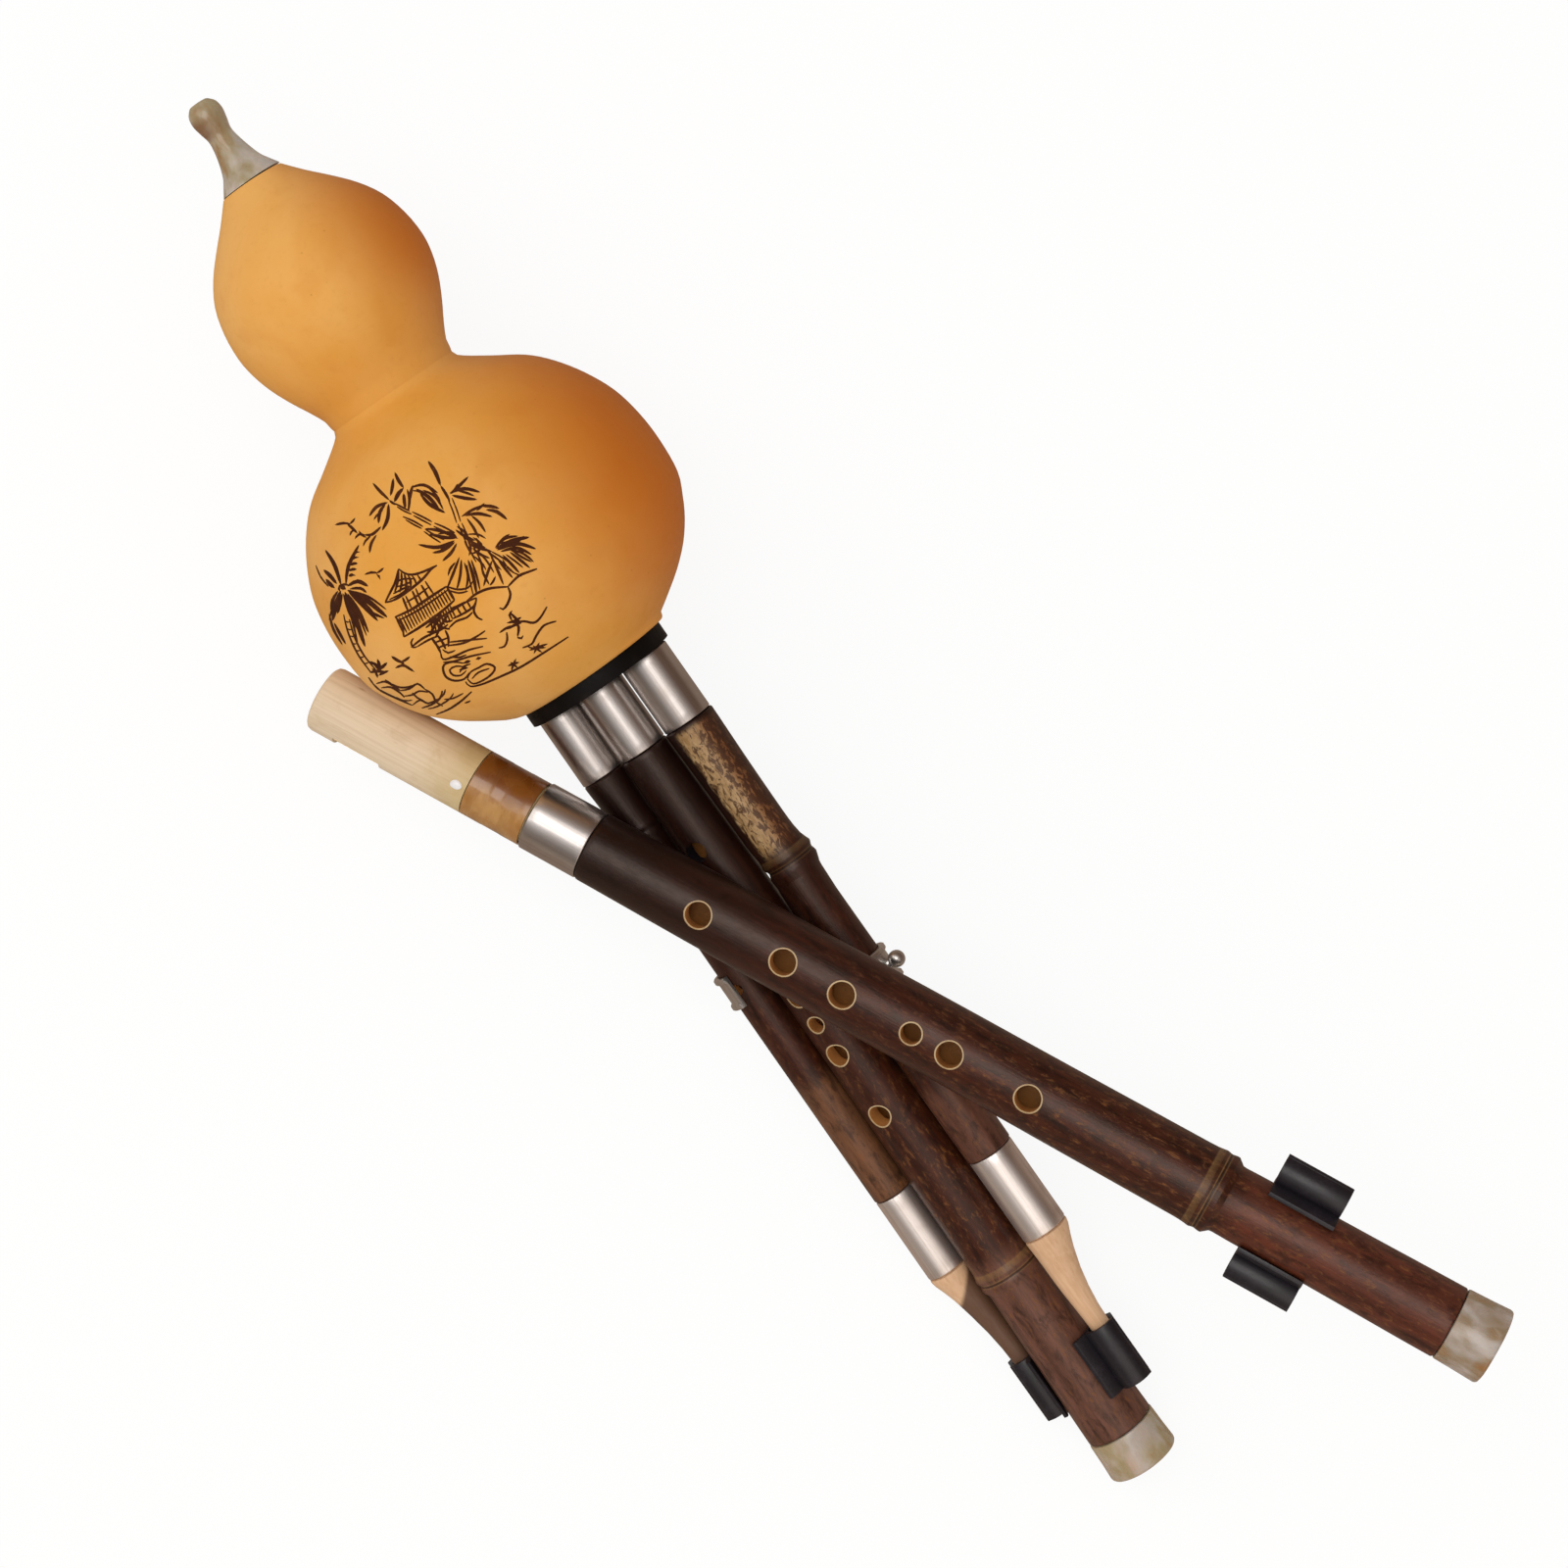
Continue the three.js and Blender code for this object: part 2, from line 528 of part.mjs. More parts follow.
// The plug: full width at the ferrule, one straight side, and a thin tip in the holder.
function plugSolid(spec, droneGroup, mainGroup, outline) {
  const toDrone = new THREE.Matrix4().copy(droneGroup.matrixWorld).invert().multiply(mainGroup.matrixWorld);
  const { reach } = holderSeat(mainPipe, outline);
  const seatAt = (x) => new THREE.Vector3(x, spec.side * reach, 0).applyMatrix4(toDrone);
  const entry = seatAt(holderStart(mainPipe));
  const end = seatAt(holderStart(mainPipe) + plug.tipDepth);
  const start = lowerFerruleEnd(spec);
  const shankRadius = spec.lowerFerruleRadius - pipeFit.ferruleWall - fitGap;
  const offset = Math.hypot(entry.y, entry.z);
  const sections = [
    { x: start - plug.shankLength, y: 0, z: 0, radius: shankRadius },
    { x: start + fitGap, y: 0, z: 0, radius: shankRadius },
    { x: start + 2 * fitGap, y: 0, z: 0, radius: spec.lowerFerruleRadius },
  ];
  plugLengthShares.forEach((along, i) => {
    const radius = THREE.MathUtils.lerp(spec.lowerFerruleRadius, plug.tipRadius, plugNarrowShares[i]);
    const edge = THREE.MathUtils.lerp(spec.lowerFerruleRadius, offset + plug.tipRadius, along);
    const centre = (edge - radius) / offset;
    sections.push({ x: THREE.MathUtils.lerp(start + 2 * fitGap, entry.x, along), y: entry.y * centre,
      z: entry.z * centre, radius });
  });
  sections.push({ x: end.x, y: end.y, z: end.z, radius: plug.tipRadius });
  const clearOutline = outline.map(([x, r]) => [x, r + plug.clearance]);
  const last = clearOutline[clearOutline.length - 1];
  const clear = turned([[clearOutline[0][0], 0], ...clearOutline, [last[0], 0]], pipeSides);
  return lofted(sections, pipeSides).subtract(moved(clear, toDrone));
}

function mouthpieceSolid(stemX) {
  const { length, skirtRadius, neckRadius, ballRadius, boreRadius } = mouthpiece;
  const neckStep = skirtRadius - neckRadius;
  const face = stemX - fitGap;
  const skirt = skirtOutlineShares.map(([along, step]) => [face - along * length,
    neckRadius + step * neckStep]);
  const ball = ballOutlineShares.map(([along, size]) => [face - along * length, size * ballRadius]);
  const shankEnd = stemX + mouthpiece.shankLength;
  return turned([
    [shankEnd, boreRadius], [shankEnd, mouthpiece.shankRadius], [face, mouthpiece.shankRadius],
    [face, skirtRadius], ...skirt, ...ball, [face - length, boreRadius],
  ], smallSides);
}

function buildInstrument(root) {
  const length = pipeStart + mainPipe.length;
  const ringReach = mainPipe.ringRadius + mainPipe.ringFlare;
  const centreHeight = gourd.lowerRadius - gourd.restDepth;
  const tilt = Math.asin(centreHeight / Math.hypot(length, ringReach)) - Math.atan2(ringReach, length);
  const instrument = new THREE.Group();
  instrument.position.z = centreHeight;
  instrument.rotation.y = tilt;
  root.add(instrument);

  const row = new THREE.Group();
  row.position.set(pipeStart, mainOffset, 0);
  row.rotation.z = mainYaw;
  instrument.add(row);
  const mainGroup = melodyPipe(mainPipe, 'main_pipe', mainHoleAt, mainSmallHoleAt);
  mainGroup.rotation.x = mainPipe.roll;
  row.add(mainGroup);
  const outline = melodyOutline(mainPipe);
  const drones = [[leftDrone, 'left_drone'], [rightDrone, 'right_drone']].map(([spec, prefix]) => {
    const group = dronePipe(spec, prefix);
    placeDrone(group, spec, outline);
    row.add(group);
    return group;
  });
  root.updateMatrixWorld(true);
  addPiece(drones[0], 'left_drone_plug', plugSolid(leftDrone, drones[0], mainGroup, outline), 'paleWood');
  addPiece(drones[1], 'right_drone_plug', plugSolid(rightDrone, drones[1], mainGroup, outline), 'paleWood');

  buildWindChest(instrument, centreHeight, tilt, [
    [mainPipe, mainGroup], [leftDrone, drones[0]], [rightDrone, drones[1]]]);
  const axis = new THREE.Vector3(1, 0, 0).transformDirection(instrument.matrixWorld);
  return { mainGroup, outline, centreHeight, axis };
}

// The gourd, its mouthpiece, and the collar bored for the three pipes.
function buildWindChest(instrument, centreHeight, tilt, pipes) {
  const toInstrument = new THREE.Matrix4().copy(instrument.matrixWorld).invert();
  const holes = pipes.map(([spec, group]) => {
    const matrix = toInstrument.clone().multiply(group.matrixWorld);
    const radius = spec.ferruleRadius - pipeFit.wrapStep + fitGap;
    const half = lipLength + collar.bossLength + overrun;
    const tool = moved(toSolid(rod(-half, overrun, radius, pipeSides)), matrix);
    return { tool, radius, centre: new THREE.Vector3().setFromMatrixPosition(matrix) };
  });
  const [, left, right] = holes;
  const across = right.centre.clone().sub(left.centre).setX(0).normalize();
  const middle = left.centre.clone().add(right.centre).divideScalar(2)
    .addScaledVector(across, (right.radius - left.radius) / 2);
  const reach = Math.max(...holes.map(({ centre, radius }) => Math.hypot(centre.y - middle.y,
    centre.z - middle.z) + radius));
  const bossRadius = reach + collar.rimWall;
  const flangeRadius = bossRadius + collar.lip;
  const face = gourd.mouthToLower + fitGap;
  const flangeEnd = face + collar.flangeThickness;
  const collarBlank = turned([
    [gourd.mouthToLower - collar.bossLength, 0], [gourd.mouthToLower - collar.bossLength, bossRadius],
    [face, bossRadius], [face, flangeRadius], [flangeEnd, flangeRadius], [flangeEnd, 0],
  ], bulbSides);
  const shift = new THREE.Matrix4().makeTranslation(0, middle.y, middle.z);
  const collarSolid = holes.reduce((left, { tool }) => left.subtract(tool), moved(collarBlank, shift));
  addPiece(instrument, 'collar', collarSolid, 'black');

  const outline = gourdOutline();
  const stemX = outline[0][0];
  const mouthX = gourd.mouthToLower;
  const inner = outline.filter(([x, r], i) => i % 2 === 0 && x > stemX + gourd.wall
    && x < mouthX - gourd.wall && r > gourd.wall).map(([x, r]) => [x, r - gourd.wall]);
  const solidOf = (points) => turned([[points[0][0], 0], ...points,
    [points[points.length - 1][0], 0]], bulbSides);
  const mouth = toSolid(rod(mouthX - 2 * collar.bossLength, mouthX + overrun, bossRadius + fitGap,
    bulbSides));
  const stemBore = toSolid(rod(stemX - overrun, stemX + 2 * gourd.wall + overrun,
    mouthpiece.shankRadius + fitGap, smallSides));
  const side = 2 * gourd.lowerRadius;
  const ground = block(side, side, side, 0, 0, -side / 2 - centreHeight).rotateY(-tilt);
  const shell = solidOf(outline).subtract(solidOf(inner)).subtract(moved(mouth, shift))
    .subtract(stemBore).subtract(toSolid(ground));
  addPiece(instrument, 'gourd_shell', shell, 'gourd');
  addPiece(instrument, 'mouthpiece', mouthpieceSolid(stemX), 'horn');
}

// The spare pipe touches two things: the side of the lower bulb with its tail, and the
// main pipe where it crosses it. Its axis is found from those two distances.
function placeSpare(spare, { mainGroup, outline, centreHeight, axis }) {
  const along = new THREE.Vector3(Math.cos(sparePitch) * Math.cos(spareYaw),
    Math.cos(sparePitch) * Math.sin(spareYaw), Math.sin(sparePitch));
  const bulb = new THREE.Vector3(0, 0, centreHeight);
  const tailRadius = sparePipe.ferruleRadius - pipeFit.wrapStep;
  const bulbOutline = gourdOutline();
  const sideways = new THREE.Vector3(Math.sin(spareYaw), -Math.cos(spareYaw), 0);
  const upwards = new THREE.Vector3().crossVectors(sideways, along);
  const mainAlong = new THREE.Vector3(1, 0, 0).transformDirection(mainGroup.matrixWorld);
  const mainStart = new THREE.Vector3().setFromMatrixPosition(mainGroup.matrixWorld);
  const across = new THREE.Vector3().crossVectors(mainAlong, along).normalize();
  const spareOutline = melodyOutline(sparePipe);
  const start = sparePipe.wrapLength + sparePipe.tailLength - tailEndToBulb;
  let apart = mainPipe.middleRadius + sparePipe.middleRadius;
  const toTail = sideways.clone();
  const origin = new THREE.Vector3();
  for (let pass = 0; pass < placingPasses; pass += 1) {
    const reach = reachTowards(bulbOutline, toTail, axis) + tailRadius + restGap;
    const a = sideways.dot(across) * reach;
    const b = upwards.dot(across) * reach;
    const wanted = apart + restGap - bulb.clone().sub(mainStart).dot(across);
    const turn = Math.atan2(b, a) - Math.acos(wanted / Math.hypot(a, b));
    toTail.copy(sideways).multiplyScalar(Math.cos(turn)).addScaledVector(upwards, Math.sin(turn));
    origin.copy(bulb).addScaledVector(toTail, reach).addScaledVector(along, start);
    const offset = origin.clone().sub(mainStart);
    const lean = along.dot(mainAlong);
    const spareX = (lean * offset.dot(mainAlong) - offset.dot(along)) / (1 - lean ** 2);
    const mainX = offset.dot(mainAlong) + spareX * lean;
    apart = radiusAt(outline, mainX) + radiusAt(spareOutline, spareX);
  }
  const upright = new THREE.Vector3(-Math.sin(sparePitch) * Math.cos(spareYaw),
    -Math.sin(sparePitch) * Math.sin(spareYaw), Math.cos(sparePitch));
  const level = new THREE.Vector3(-Math.sin(spareYaw), Math.cos(spareYaw), 0);
  const basis = new THREE.Matrix4().makeBasis(along, level, upright).setPosition(origin);
  basis.multiply(new THREE.Matrix4().makeRotationX(sparePipe.roll));
  basis.decompose(spare.position, spare.quaternion, spare.scale);
}

function buildHulusi() {
  const root = new THREE.Group();
  root.name = 'hulusi';
  const built = buildInstrument(root);
  const spare = melodyPipe(sparePipe, 'spare_pipe', spareHoleAt, spareSmallHoleAt);
  placeSpare(spare, built);
  root.add(spare);
  return root;
}

export default buildHulusi();
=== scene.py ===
"""Dresses a hulusi for a studio picture: gourd, mouthpiece, pipes, ferrules, clips, plugs.

Sizes in the classes are millimetres in a piece's own frame, where X runs along the piece
and Z is its top. A Placing puts the finished piece into the shared frame, in metres.
"""
import logging
import math
from dataclasses import dataclass
from enum import Enum
from typing import List, Optional, Sequence, Tuple, Union

import bpy
from mathutils import Matrix, Vector, noise


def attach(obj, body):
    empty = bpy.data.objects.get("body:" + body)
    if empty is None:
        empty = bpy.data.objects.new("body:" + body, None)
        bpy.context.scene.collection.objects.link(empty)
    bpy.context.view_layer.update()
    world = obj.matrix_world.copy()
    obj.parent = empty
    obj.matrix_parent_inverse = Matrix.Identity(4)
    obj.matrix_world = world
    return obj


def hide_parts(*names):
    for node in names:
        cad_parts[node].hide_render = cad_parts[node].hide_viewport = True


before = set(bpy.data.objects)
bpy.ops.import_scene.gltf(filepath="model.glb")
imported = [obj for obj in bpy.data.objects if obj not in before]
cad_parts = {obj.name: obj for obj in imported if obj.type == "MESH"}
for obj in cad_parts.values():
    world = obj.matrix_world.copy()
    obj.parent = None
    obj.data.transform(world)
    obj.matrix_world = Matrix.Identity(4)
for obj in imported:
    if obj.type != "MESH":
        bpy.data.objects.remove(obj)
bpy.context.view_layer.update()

log = logging.getLogger("hulusi")

MM = 0.001
FIT_GAP = 0.3
SHEET_WALL = 0.6
WELD = 1e-7
WHITE = (1, 1, 1, 1)
PLACE_NAME = "own_place"

Color = Tuple[float, float, float, float]
Point = Tuple[float, float]
Row = Tuple[float, ...]
Triple = Tuple[float, float, float]
Socket = bpy.types.NodeSocket
Value = Union[Socket, float, Triple, Color]


class Ends(Enum):
    """How the first and last ring of a lofted piece are finished."""

    CAPPED = "capped"
    JOINED = "joined"


class Side(Enum):
    """The flank of a pipe that a piece sits on."""

    LEFT = -1
    RIGHT = 1


@dataclass(frozen=True)
class Ring:
    """One ring of a lofted piece: its place along X, its two radii and its centre."""

    x: float
    wide: float
    tall: Optional[float] = None
    y: float = 0.0
    z: float = 0.0

    def height(self) -> float:
        """Returns the radius along Z, which is the one along Y where none is given."""
        return self.wide if self.tall is None else self.tall

    def centre(self) -> Vector:
        """Returns the ring's centre in metres."""
        return Vector((self.x, self.y, self.z)) * MM


@dataclass(frozen=True)
class Placing:
    """Where a piece's own frame lies in the shared frame: origin in millimetres, two axes."""

    origin: Triple
    along: Triple
    across: Triple

    def matrix(self) -> Matrix:
        """Returns the matrix from the piece's own frame, in metres, to the shared frame."""
        along = Vector(self.along).normalized()
        up = along.cross(Vector(self.across)).normalized()
        across = up.cross(along)
        turn = Matrix((along, across, up)).transposed().to_4x4()
        return Matrix.Translation(Vector(self.origin) * MM) @ turn


GOURD_PLACE = Placing((0, 0, 50.5), (0.991682, 0, -0.128716), (0, 1, 0))
MAIN_PLACE = Placing((44.526501, 0.4, 44.720663), (0.991639, 0.00925, -0.12871),
                     (0.068236, 0.808982, 0.583859))
LEFT_PLACE = Placing((43.881326, -12.287766, 38.838118), (0.991393, 0.000862, -0.130913),
                     (-0.000856, 1, 0.000102))
RIGHT_PLACE = Placing((44.895748, 14.984856, 48.613687), (0.994133, 0.008377, -0.107839),
                      (-0.008308, 0.999965, 0.001088))
SPARE_PLACE = Placing((64.014907, -33.370579, 44.343665), (0.885541, 0.44635, 0.128796),
                      (-0.464175, 0.861412, 0.20618))
LEFT_CLIP_PLACE = Placing((43.881326, -12.287766, 38.838118), (0.991393, 0.000862, -0.130913),
                          (-0.054029, 0.913541, -0.403143))
RIGHT_CLIP_PLACE = Placing((44.895748, 14.984856, 48.613687), (0.994133, 0.008377, -0.107839),
                           (0.043294, 0.88283, 0.467694))


# The bench: shaping one mesh at a time


def deselect() -> None:
    """Leaves nothing selected."""
    bpy.ops.object.select_all(action="DESELECT")


def pick(piece: bpy.types.Object) -> None:
    """Selects one piece alone and makes it active.

    Args:
        piece: The object to work on.
    """
    deselect()
    piece.select_set(True)
    bpy.context.view_layer.objects.active = piece


def smooth_outline(points: Sequence[Point], step: float) -> List[Point]:
    """Runs a smooth curve through outline points.

    Args:
        points: The outline as (x, radius) in millimetres.
        step: The longest stretch between two points of the result.

    Returns:
        The points of the smooth curve, the given ones among them.
    """
    result = [points[0]]
    for i in range(len(points) - 1):
        before = points[max(i - 1, 0)]
        start, end = points[i], points[i + 1]
        after = points[min(i + 2, len(points) - 1)]
        count = max(1, math.ceil(math.dist(start, end) / step))
        for j in range(1, count + 1):
            t = j / count
            blend = [0.5 * (2 * b + (c - a) * t + (2 * a - 5 * b + 4 * c - d) * t ** 2
                            + (3 * b - a - 3 * c + d) * t ** 3)
                     for a, b, c, d in zip(before, start, end, after)]
            result.append((blend[0], blend[1]))
    return result


def loft(name: str, rings: Sequence[Ring], sides: int, ends: Ends) -> bpy.types.Object:
    """Makes a round piece along X: a circle, extruded and scaled from ring to ring.

    Args:
        name: The object's name.
        rings: The rings in order.
        sides: The corners of each ring.
        ends: How the two ends are finished.

    Returns:
        The new object, in its own frame.
    """
    deselect()
    first = rings[0]
    bpy.ops.mesh.primitive_circle_add(vertices=sides, radius=first.wide * MM,
                                      rotation=(0, math.pi / 2, 0), location=first.centre())
    piece = bpy.context.object
    piece.name = name
    bpy.ops.object.transform_apply(location=True, rotation=True, scale=True)
    bpy.ops.object.mode_set(mode="EDIT")
    bpy.ops.mesh.select_all(action="SELECT")
    bpy.ops.transform.resize(value=(1, 1, first.height() / first.wide),
                             center_override=first.centre())
    for before, after in zip(rings, rings[1:]):
        shift = after.centre() - before.centre()
        bpy.ops.mesh.extrude_region_move(TRANSFORM_OT_translate={"value": shift})
        bpy.ops.transform.resize(
            value=(1, after.wide / before.wide, after.height() / before.height()),
            center_override=after.centre())
    bpy.ops.mesh.select_all(action="SELECT")
    if ends is Ends.JOINED:
        bpy.ops.mesh.remove_doubles(threshold=WELD)
    if ends is Ends.CAPPED:
        bpy.ops.mesh.select_all(action="DESELECT")
        bpy.ops.mesh.select_non_manifold(extend=False)
        bpy.ops.mesh.fill_holes(sides=0)
    bpy.ops.mesh.select_all(action="SELECT")
    bpy.ops.mesh.normals_make_consistent(inside=False)
    bpy.ops.object.mode_set(mode="OBJECT")
    return piece


def turned(name: str, outline: Sequence[Point], sides: int,
           ends: Ends = Ends.JOINED) -> bpy.types.Object:
    """Makes a turned piece about X from an outline.

    Args:
        name: The object's name.
        outline: Points as (x, radius) in millimetres; a joined one is closed here.
        sides: The corners around.
        ends: How the two ends are finished.

    Returns:
        The new object, in its own frame.
    """
    rings = [Ring(x, radius) for x, radius in outline]
    if ends is Ends.JOINED:
        rings.append(rings[0])
    return loft(name, rings, sides, ends)


def block(name: str, low: Triple, high: Triple) -> bpy.types.Object:
    """Makes a box between two corners, given in millimetres.

    Args:
        name: The object's name.
        low: The lowest corner.
        high: The highest corner.

    Returns:
        The new object, in its own frame.
    """
    deselect()
    centre = [(a + b) / 2 * MM for a, b in zip(low, high)]
    bpy.ops.mesh.primitive_cube_add(size=1, location=centre)
    piece = bpy.context.object
    piece.name = name
    piece.scale = [(b - a) * MM for a, b in zip(low, high)]
    bpy.ops.object.transform_apply(location=True, rotation=True, scale=True)
    return piece


def drill_bit(x: float, radius: float, reach: float, sides: int,
              finish_name: str) -> bpy.types.Object:
    """Makes a round cutter that stands on a pipe's axis.

    Args:
        x: Its place along the pipe in millimetres.
        radius: Its radius in millimetres.
        reach: Its length in millimetres, negative for one that points down.
        sides: Its corners.
        finish_name: The finish that the cut leaves.

    Returns:
        The cutter, in the pipe's frame.
    """
    deselect()
    bpy.ops.mesh.primitive_cylinder_add(vertices=sides, radius=radius * MM,
                                        depth=abs(reach) * MM,
                                        location=(x * MM, 0, reach / 2 * MM))
    bit = bpy.context.object
    bpy.ops.object.transform_apply(location=True, rotation=True, scale=True)
    bit.data.materials.append(FINISHES[finish_name])
    return bit


def join(pieces: Sequence[bpy.types.Object]) -> bpy.types.Object:
    """Joins pieces into the first one.

    Args:
        pieces: The objects to join.

    Returns:
        The first object, which now holds them all.
    """
    pick(pieces[0])
    for piece in pieces[1:]:
        piece.select_set(True)
    if len(pieces) > 1:
        bpy.ops.object.join()
    return pieces[0]


def combine(piece: bpy.types.Object, tool: bpy.types.Object, operation: str) -> None:
    """Cuts or joins a piece with a tool, which is used up.

    Args:
        piece: The object that is changed.
        tool: The object that cuts it or is added to it.
        operation: "DIFFERENCE", "UNION" or "INTERSECT".
    """
    pick(piece)
    change = piece.modifiers.new("shape", "BOOLEAN")
    change.operation = operation
    change.solver = "EXACT"
    change.object = tool
    change.material_mode = "TRANSFER"
    bpy.ops.object.modifier_apply(modifier=change.name)
    bpy.data.objects.remove(tool)


def bevel(piece: bpy.types.Object, width: float, segments: int = 2, angle: float = 40) -> None:
    """Rounds the sharp edges of a piece.

    Args:
        piece: The object to round.
        width: The width of the rounding in millimetres.
        segments: Its steps.
        angle: The least angle, in degrees, of the edges that are rounded.
    """
    pick(piece)
    change = piece.modifiers.new("round", "BEVEL")
    change.width = width * MM
    change.segments = segments
    change.limit_method = "ANGLE"
    change.angle_limit = math.radians(angle)
    change.use_clamp_overlap = True
    bpy.ops.object.modifier_apply(modifier=change.name)


def roughen(piece: bpy.types.Object, depth: float, size: float, stretch: Triple = (1, 1, 1),
            seed: float = 0.0) -> None:
    """Gives a piece the slight unevenness of a grown or hand-made thing.

    Args:
        piece: The object, still in its own frame.
        depth: The furthest that a point moves along its normal, in millimetres.
        size: The size of the bumps in millimetres.
        stretch: How much longer the bumps are along X, Y and Z.
        seed: Shifts the pattern, so that no two pieces are alike.
    """
    normals = [v.normal.copy() for v in piece.data.vertices]
    for vertex, normal in zip(piece.data.vertices, normals):
        place = Vector([c / (size * MM * s) for c, s in zip(vertex.co, stretch)])
        vertex.co += normal * noise.noise(place + Vector((seed, seed, seed))) * depth * MM


def settle(piece: bpy.types.Object, place: Placing, sharp: float = 35) -> None:
    """Smooths a finished mesh, notes its own coordinates and moves it to its place.

    Args:
        piece: The object, in its own frame.
        place: Where the frame lies.
        sharp: Edges over this angle, in degrees, stay sharp.
    """
    pick(piece)
    bpy.ops.object.shade_smooth_by_angle(angle=math.radians(sharp))
    layer = piece.data.attributes.new(PLACE_NAME, "FLOAT_VECTOR", "POINT")
    flat = [c for v in piece.data.vertices for c in v.co]
    layer.data.foreach_set("vector", flat)
    piece.data.transform(place.matrix())
    piece.data.update()


def hand_over(piece: bpy.types.Object, body: str, slot: str, *nodes: str) -> None:
    """Ties a finished piece to its body and hides the solids that it stands for.

    Args:
        piece: The object, in its place.
        body: The body that it moves with.
        slot: The record's material slot; not used.
        *nodes: The solids that it stands for.
    """
    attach(piece, body)
    if nodes:
        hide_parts(*nodes)
    log.info("%s: %d faces", piece.name, len(piece.data.polygons))


def finish(piece: bpy.types.Object, material: bpy.types.Material, place: Placing, sharp: float,
           body: str, slot: str, *nodes: str) -> None:
    """Settles a piece in its place, gives it one finish all over and hands it over.

    Args:
        piece: The object, in its own frame.
        material: The finish.
        place: Where the frame lies.
        sharp: Edges over this angle, in degrees, stay sharp.
        body: The body that it moves with.
        slot: The record's material slot, passed on and not used.
        *nodes: The solids that it stands for.
    """
    settle(piece, place, sharp)
    piece.data.materials.clear()
    piece.data.materials.append(material)
    hand_over(piece, body, slot, *nodes)


# Finishes


class Paint:
    """Builds the node tree of one material with short calls."""

    def __init__(self, name: str) -> None:
        """Starts a material.

        Args:
            name: The material's name.
        """
        self.material = bpy.data.materials.new(name)
        self.material.use_nodes = True
        self.nodes = self.material.node_tree.nodes
        self.links = self.material.node_tree.links
        self.skin = self.nodes["Principled BSDF"]

    def feed(self, socket: Socket, value: Value) -> None:
        """Links a socket to another, or gives it a plain value."""
        if isinstance(value, bpy.types.NodeSocket):
            self.links.new(value, socket)
        else:
            socket.default_value = value

    def place(self) -> Socket:
        """Returns the piece's own coordinates in millimetres."""
        node = self.nodes.new("ShaderNodeAttribute")
        node.attribute_name = PLACE_NAME
        return self.vector("SCALE", node.outputs["Vector"], scale=1 / MM)

    def vector(self, operation: str, a: Value, b: Optional[Value] = None,
               scale: Optional[float] = None) -> Socket:
        """Returns the result of a vector operation."""
        node = self.nodes.new("ShaderNodeVectorMath")
        node.operation = operation
        self.feed(node.inputs[0], a)
        if b is not None:
            self.feed(node.inputs[1], b)
        if scale is not None:
            node.inputs["Scale"].default_value = scale
        return node.outputs["Value" if operation in ("LENGTH", "DOT_PRODUCT") else "Vector"]

    def split(self, vector: Socket) -> Tuple[Socket, Socket, Socket]:
        """Returns the three parts of a vector."""
        node = self.nodes.new("ShaderNodeSeparateXYZ")
        self.links.new(vector, node.inputs[0])
        return node.outputs[0], node.outputs[1], node.outputs[2]

    def math(self, operation: str, a: Value, b: Value = 0.0, c: Value = 0.0) -> Socket:
        """Returns the result of a number operation."""
        node = self.nodes.new("ShaderNodeMath")
        node.operation = operation
        for socket, value in zip(node.inputs, (a, b, c)):
            self.feed(socket, value)
        return node.outputs[0]

    def times(self, a: Value, b: Value) -> Socket:
        """Returns the product of two values."""
        return self.math("MULTIPLY", a, b)

    def plus(self, a: Value, b: Value) -> Socket:
        """Returns the sum of two values."""
        return self.math("ADD", a, b)

    def span(self, value: Value, low: float, high: float, first: float = 0.0,
             last: float = 1.0) -> Socket:
        """Returns a value that runs smoothly from first to last between two limits."""
        node = self.nodes.new("ShaderNodeMapRange")
        node.interpolation_type = "SMOOTHSTEP"
        for socket, given in zip(node.inputs, (value, low, high, first, last)):
            self.feed(socket, given)
        return node.outputs[0]

    def noise(self, place: Value, scale: float, detail: float = 3.0, rough: float = 0.55,
              warp: float = 0.0) -> Socket:
        """Returns a cloudy value between 0 and 1."""
        node = self.nodes.new("ShaderNodeTexNoise")
        self.feed(node.inputs["Vector"], place)
        node.inputs["Scale"].default_value = scale
        node.inputs["Detail"].default_value = detail
        node.inputs["Roughness"].default_value = rough
        node.inputs["Distortion"].default_value = warp
        return node.outputs["Fac"]

    def cells(self, place: Value, scale: float) -> Socket:
        """Returns the distance to the nearest of many scattered points."""
        node = self.nodes.new("ShaderNodeTexVoronoi")
        self.feed(node.inputs["Vector"], place)
        node.inputs["Scale"].default_value = scale
        return node.outputs["Distance"]

    def stretch(self, place: Socket, factors: Triple, shift: Triple = (0, 0, 0)) -> Socket:
        """Returns coordinates scaled along each axis, for long streaks."""
        node = self.nodes.new("ShaderNodeMapping")
        self.links.new(place, node.inputs["Vector"])
        node.inputs["Scale"].default_value = factors
        node.inputs["Location"].default_value = shift
        return node.outputs[0]

    def ramp(self, value: Socket, stops: Sequence[Tuple[float, Color]]) -> Socket:
        """Returns a colour read from a row of colour stops."""
        node = self.nodes.new("ShaderNodeValToRGB")
        fill_ramp(node.color_ramp, stops)
        self.links.new(value, node.inputs[0])
        return node.outputs[0]

    def mix(self, share: Value, a: Value, b: Value, mode: str = "MIX") -> Socket:
        """Returns two colours mixed by a share."""
        node = self.nodes.new("ShaderNodeMix")
        node.data_type = "RGBA"
        node.blend_type = mode
        self.feed(node.inputs[0], share)
        self.feed(node.inputs[6], a)
        self.feed(node.inputs[7], b)
        return node.outputs[2]

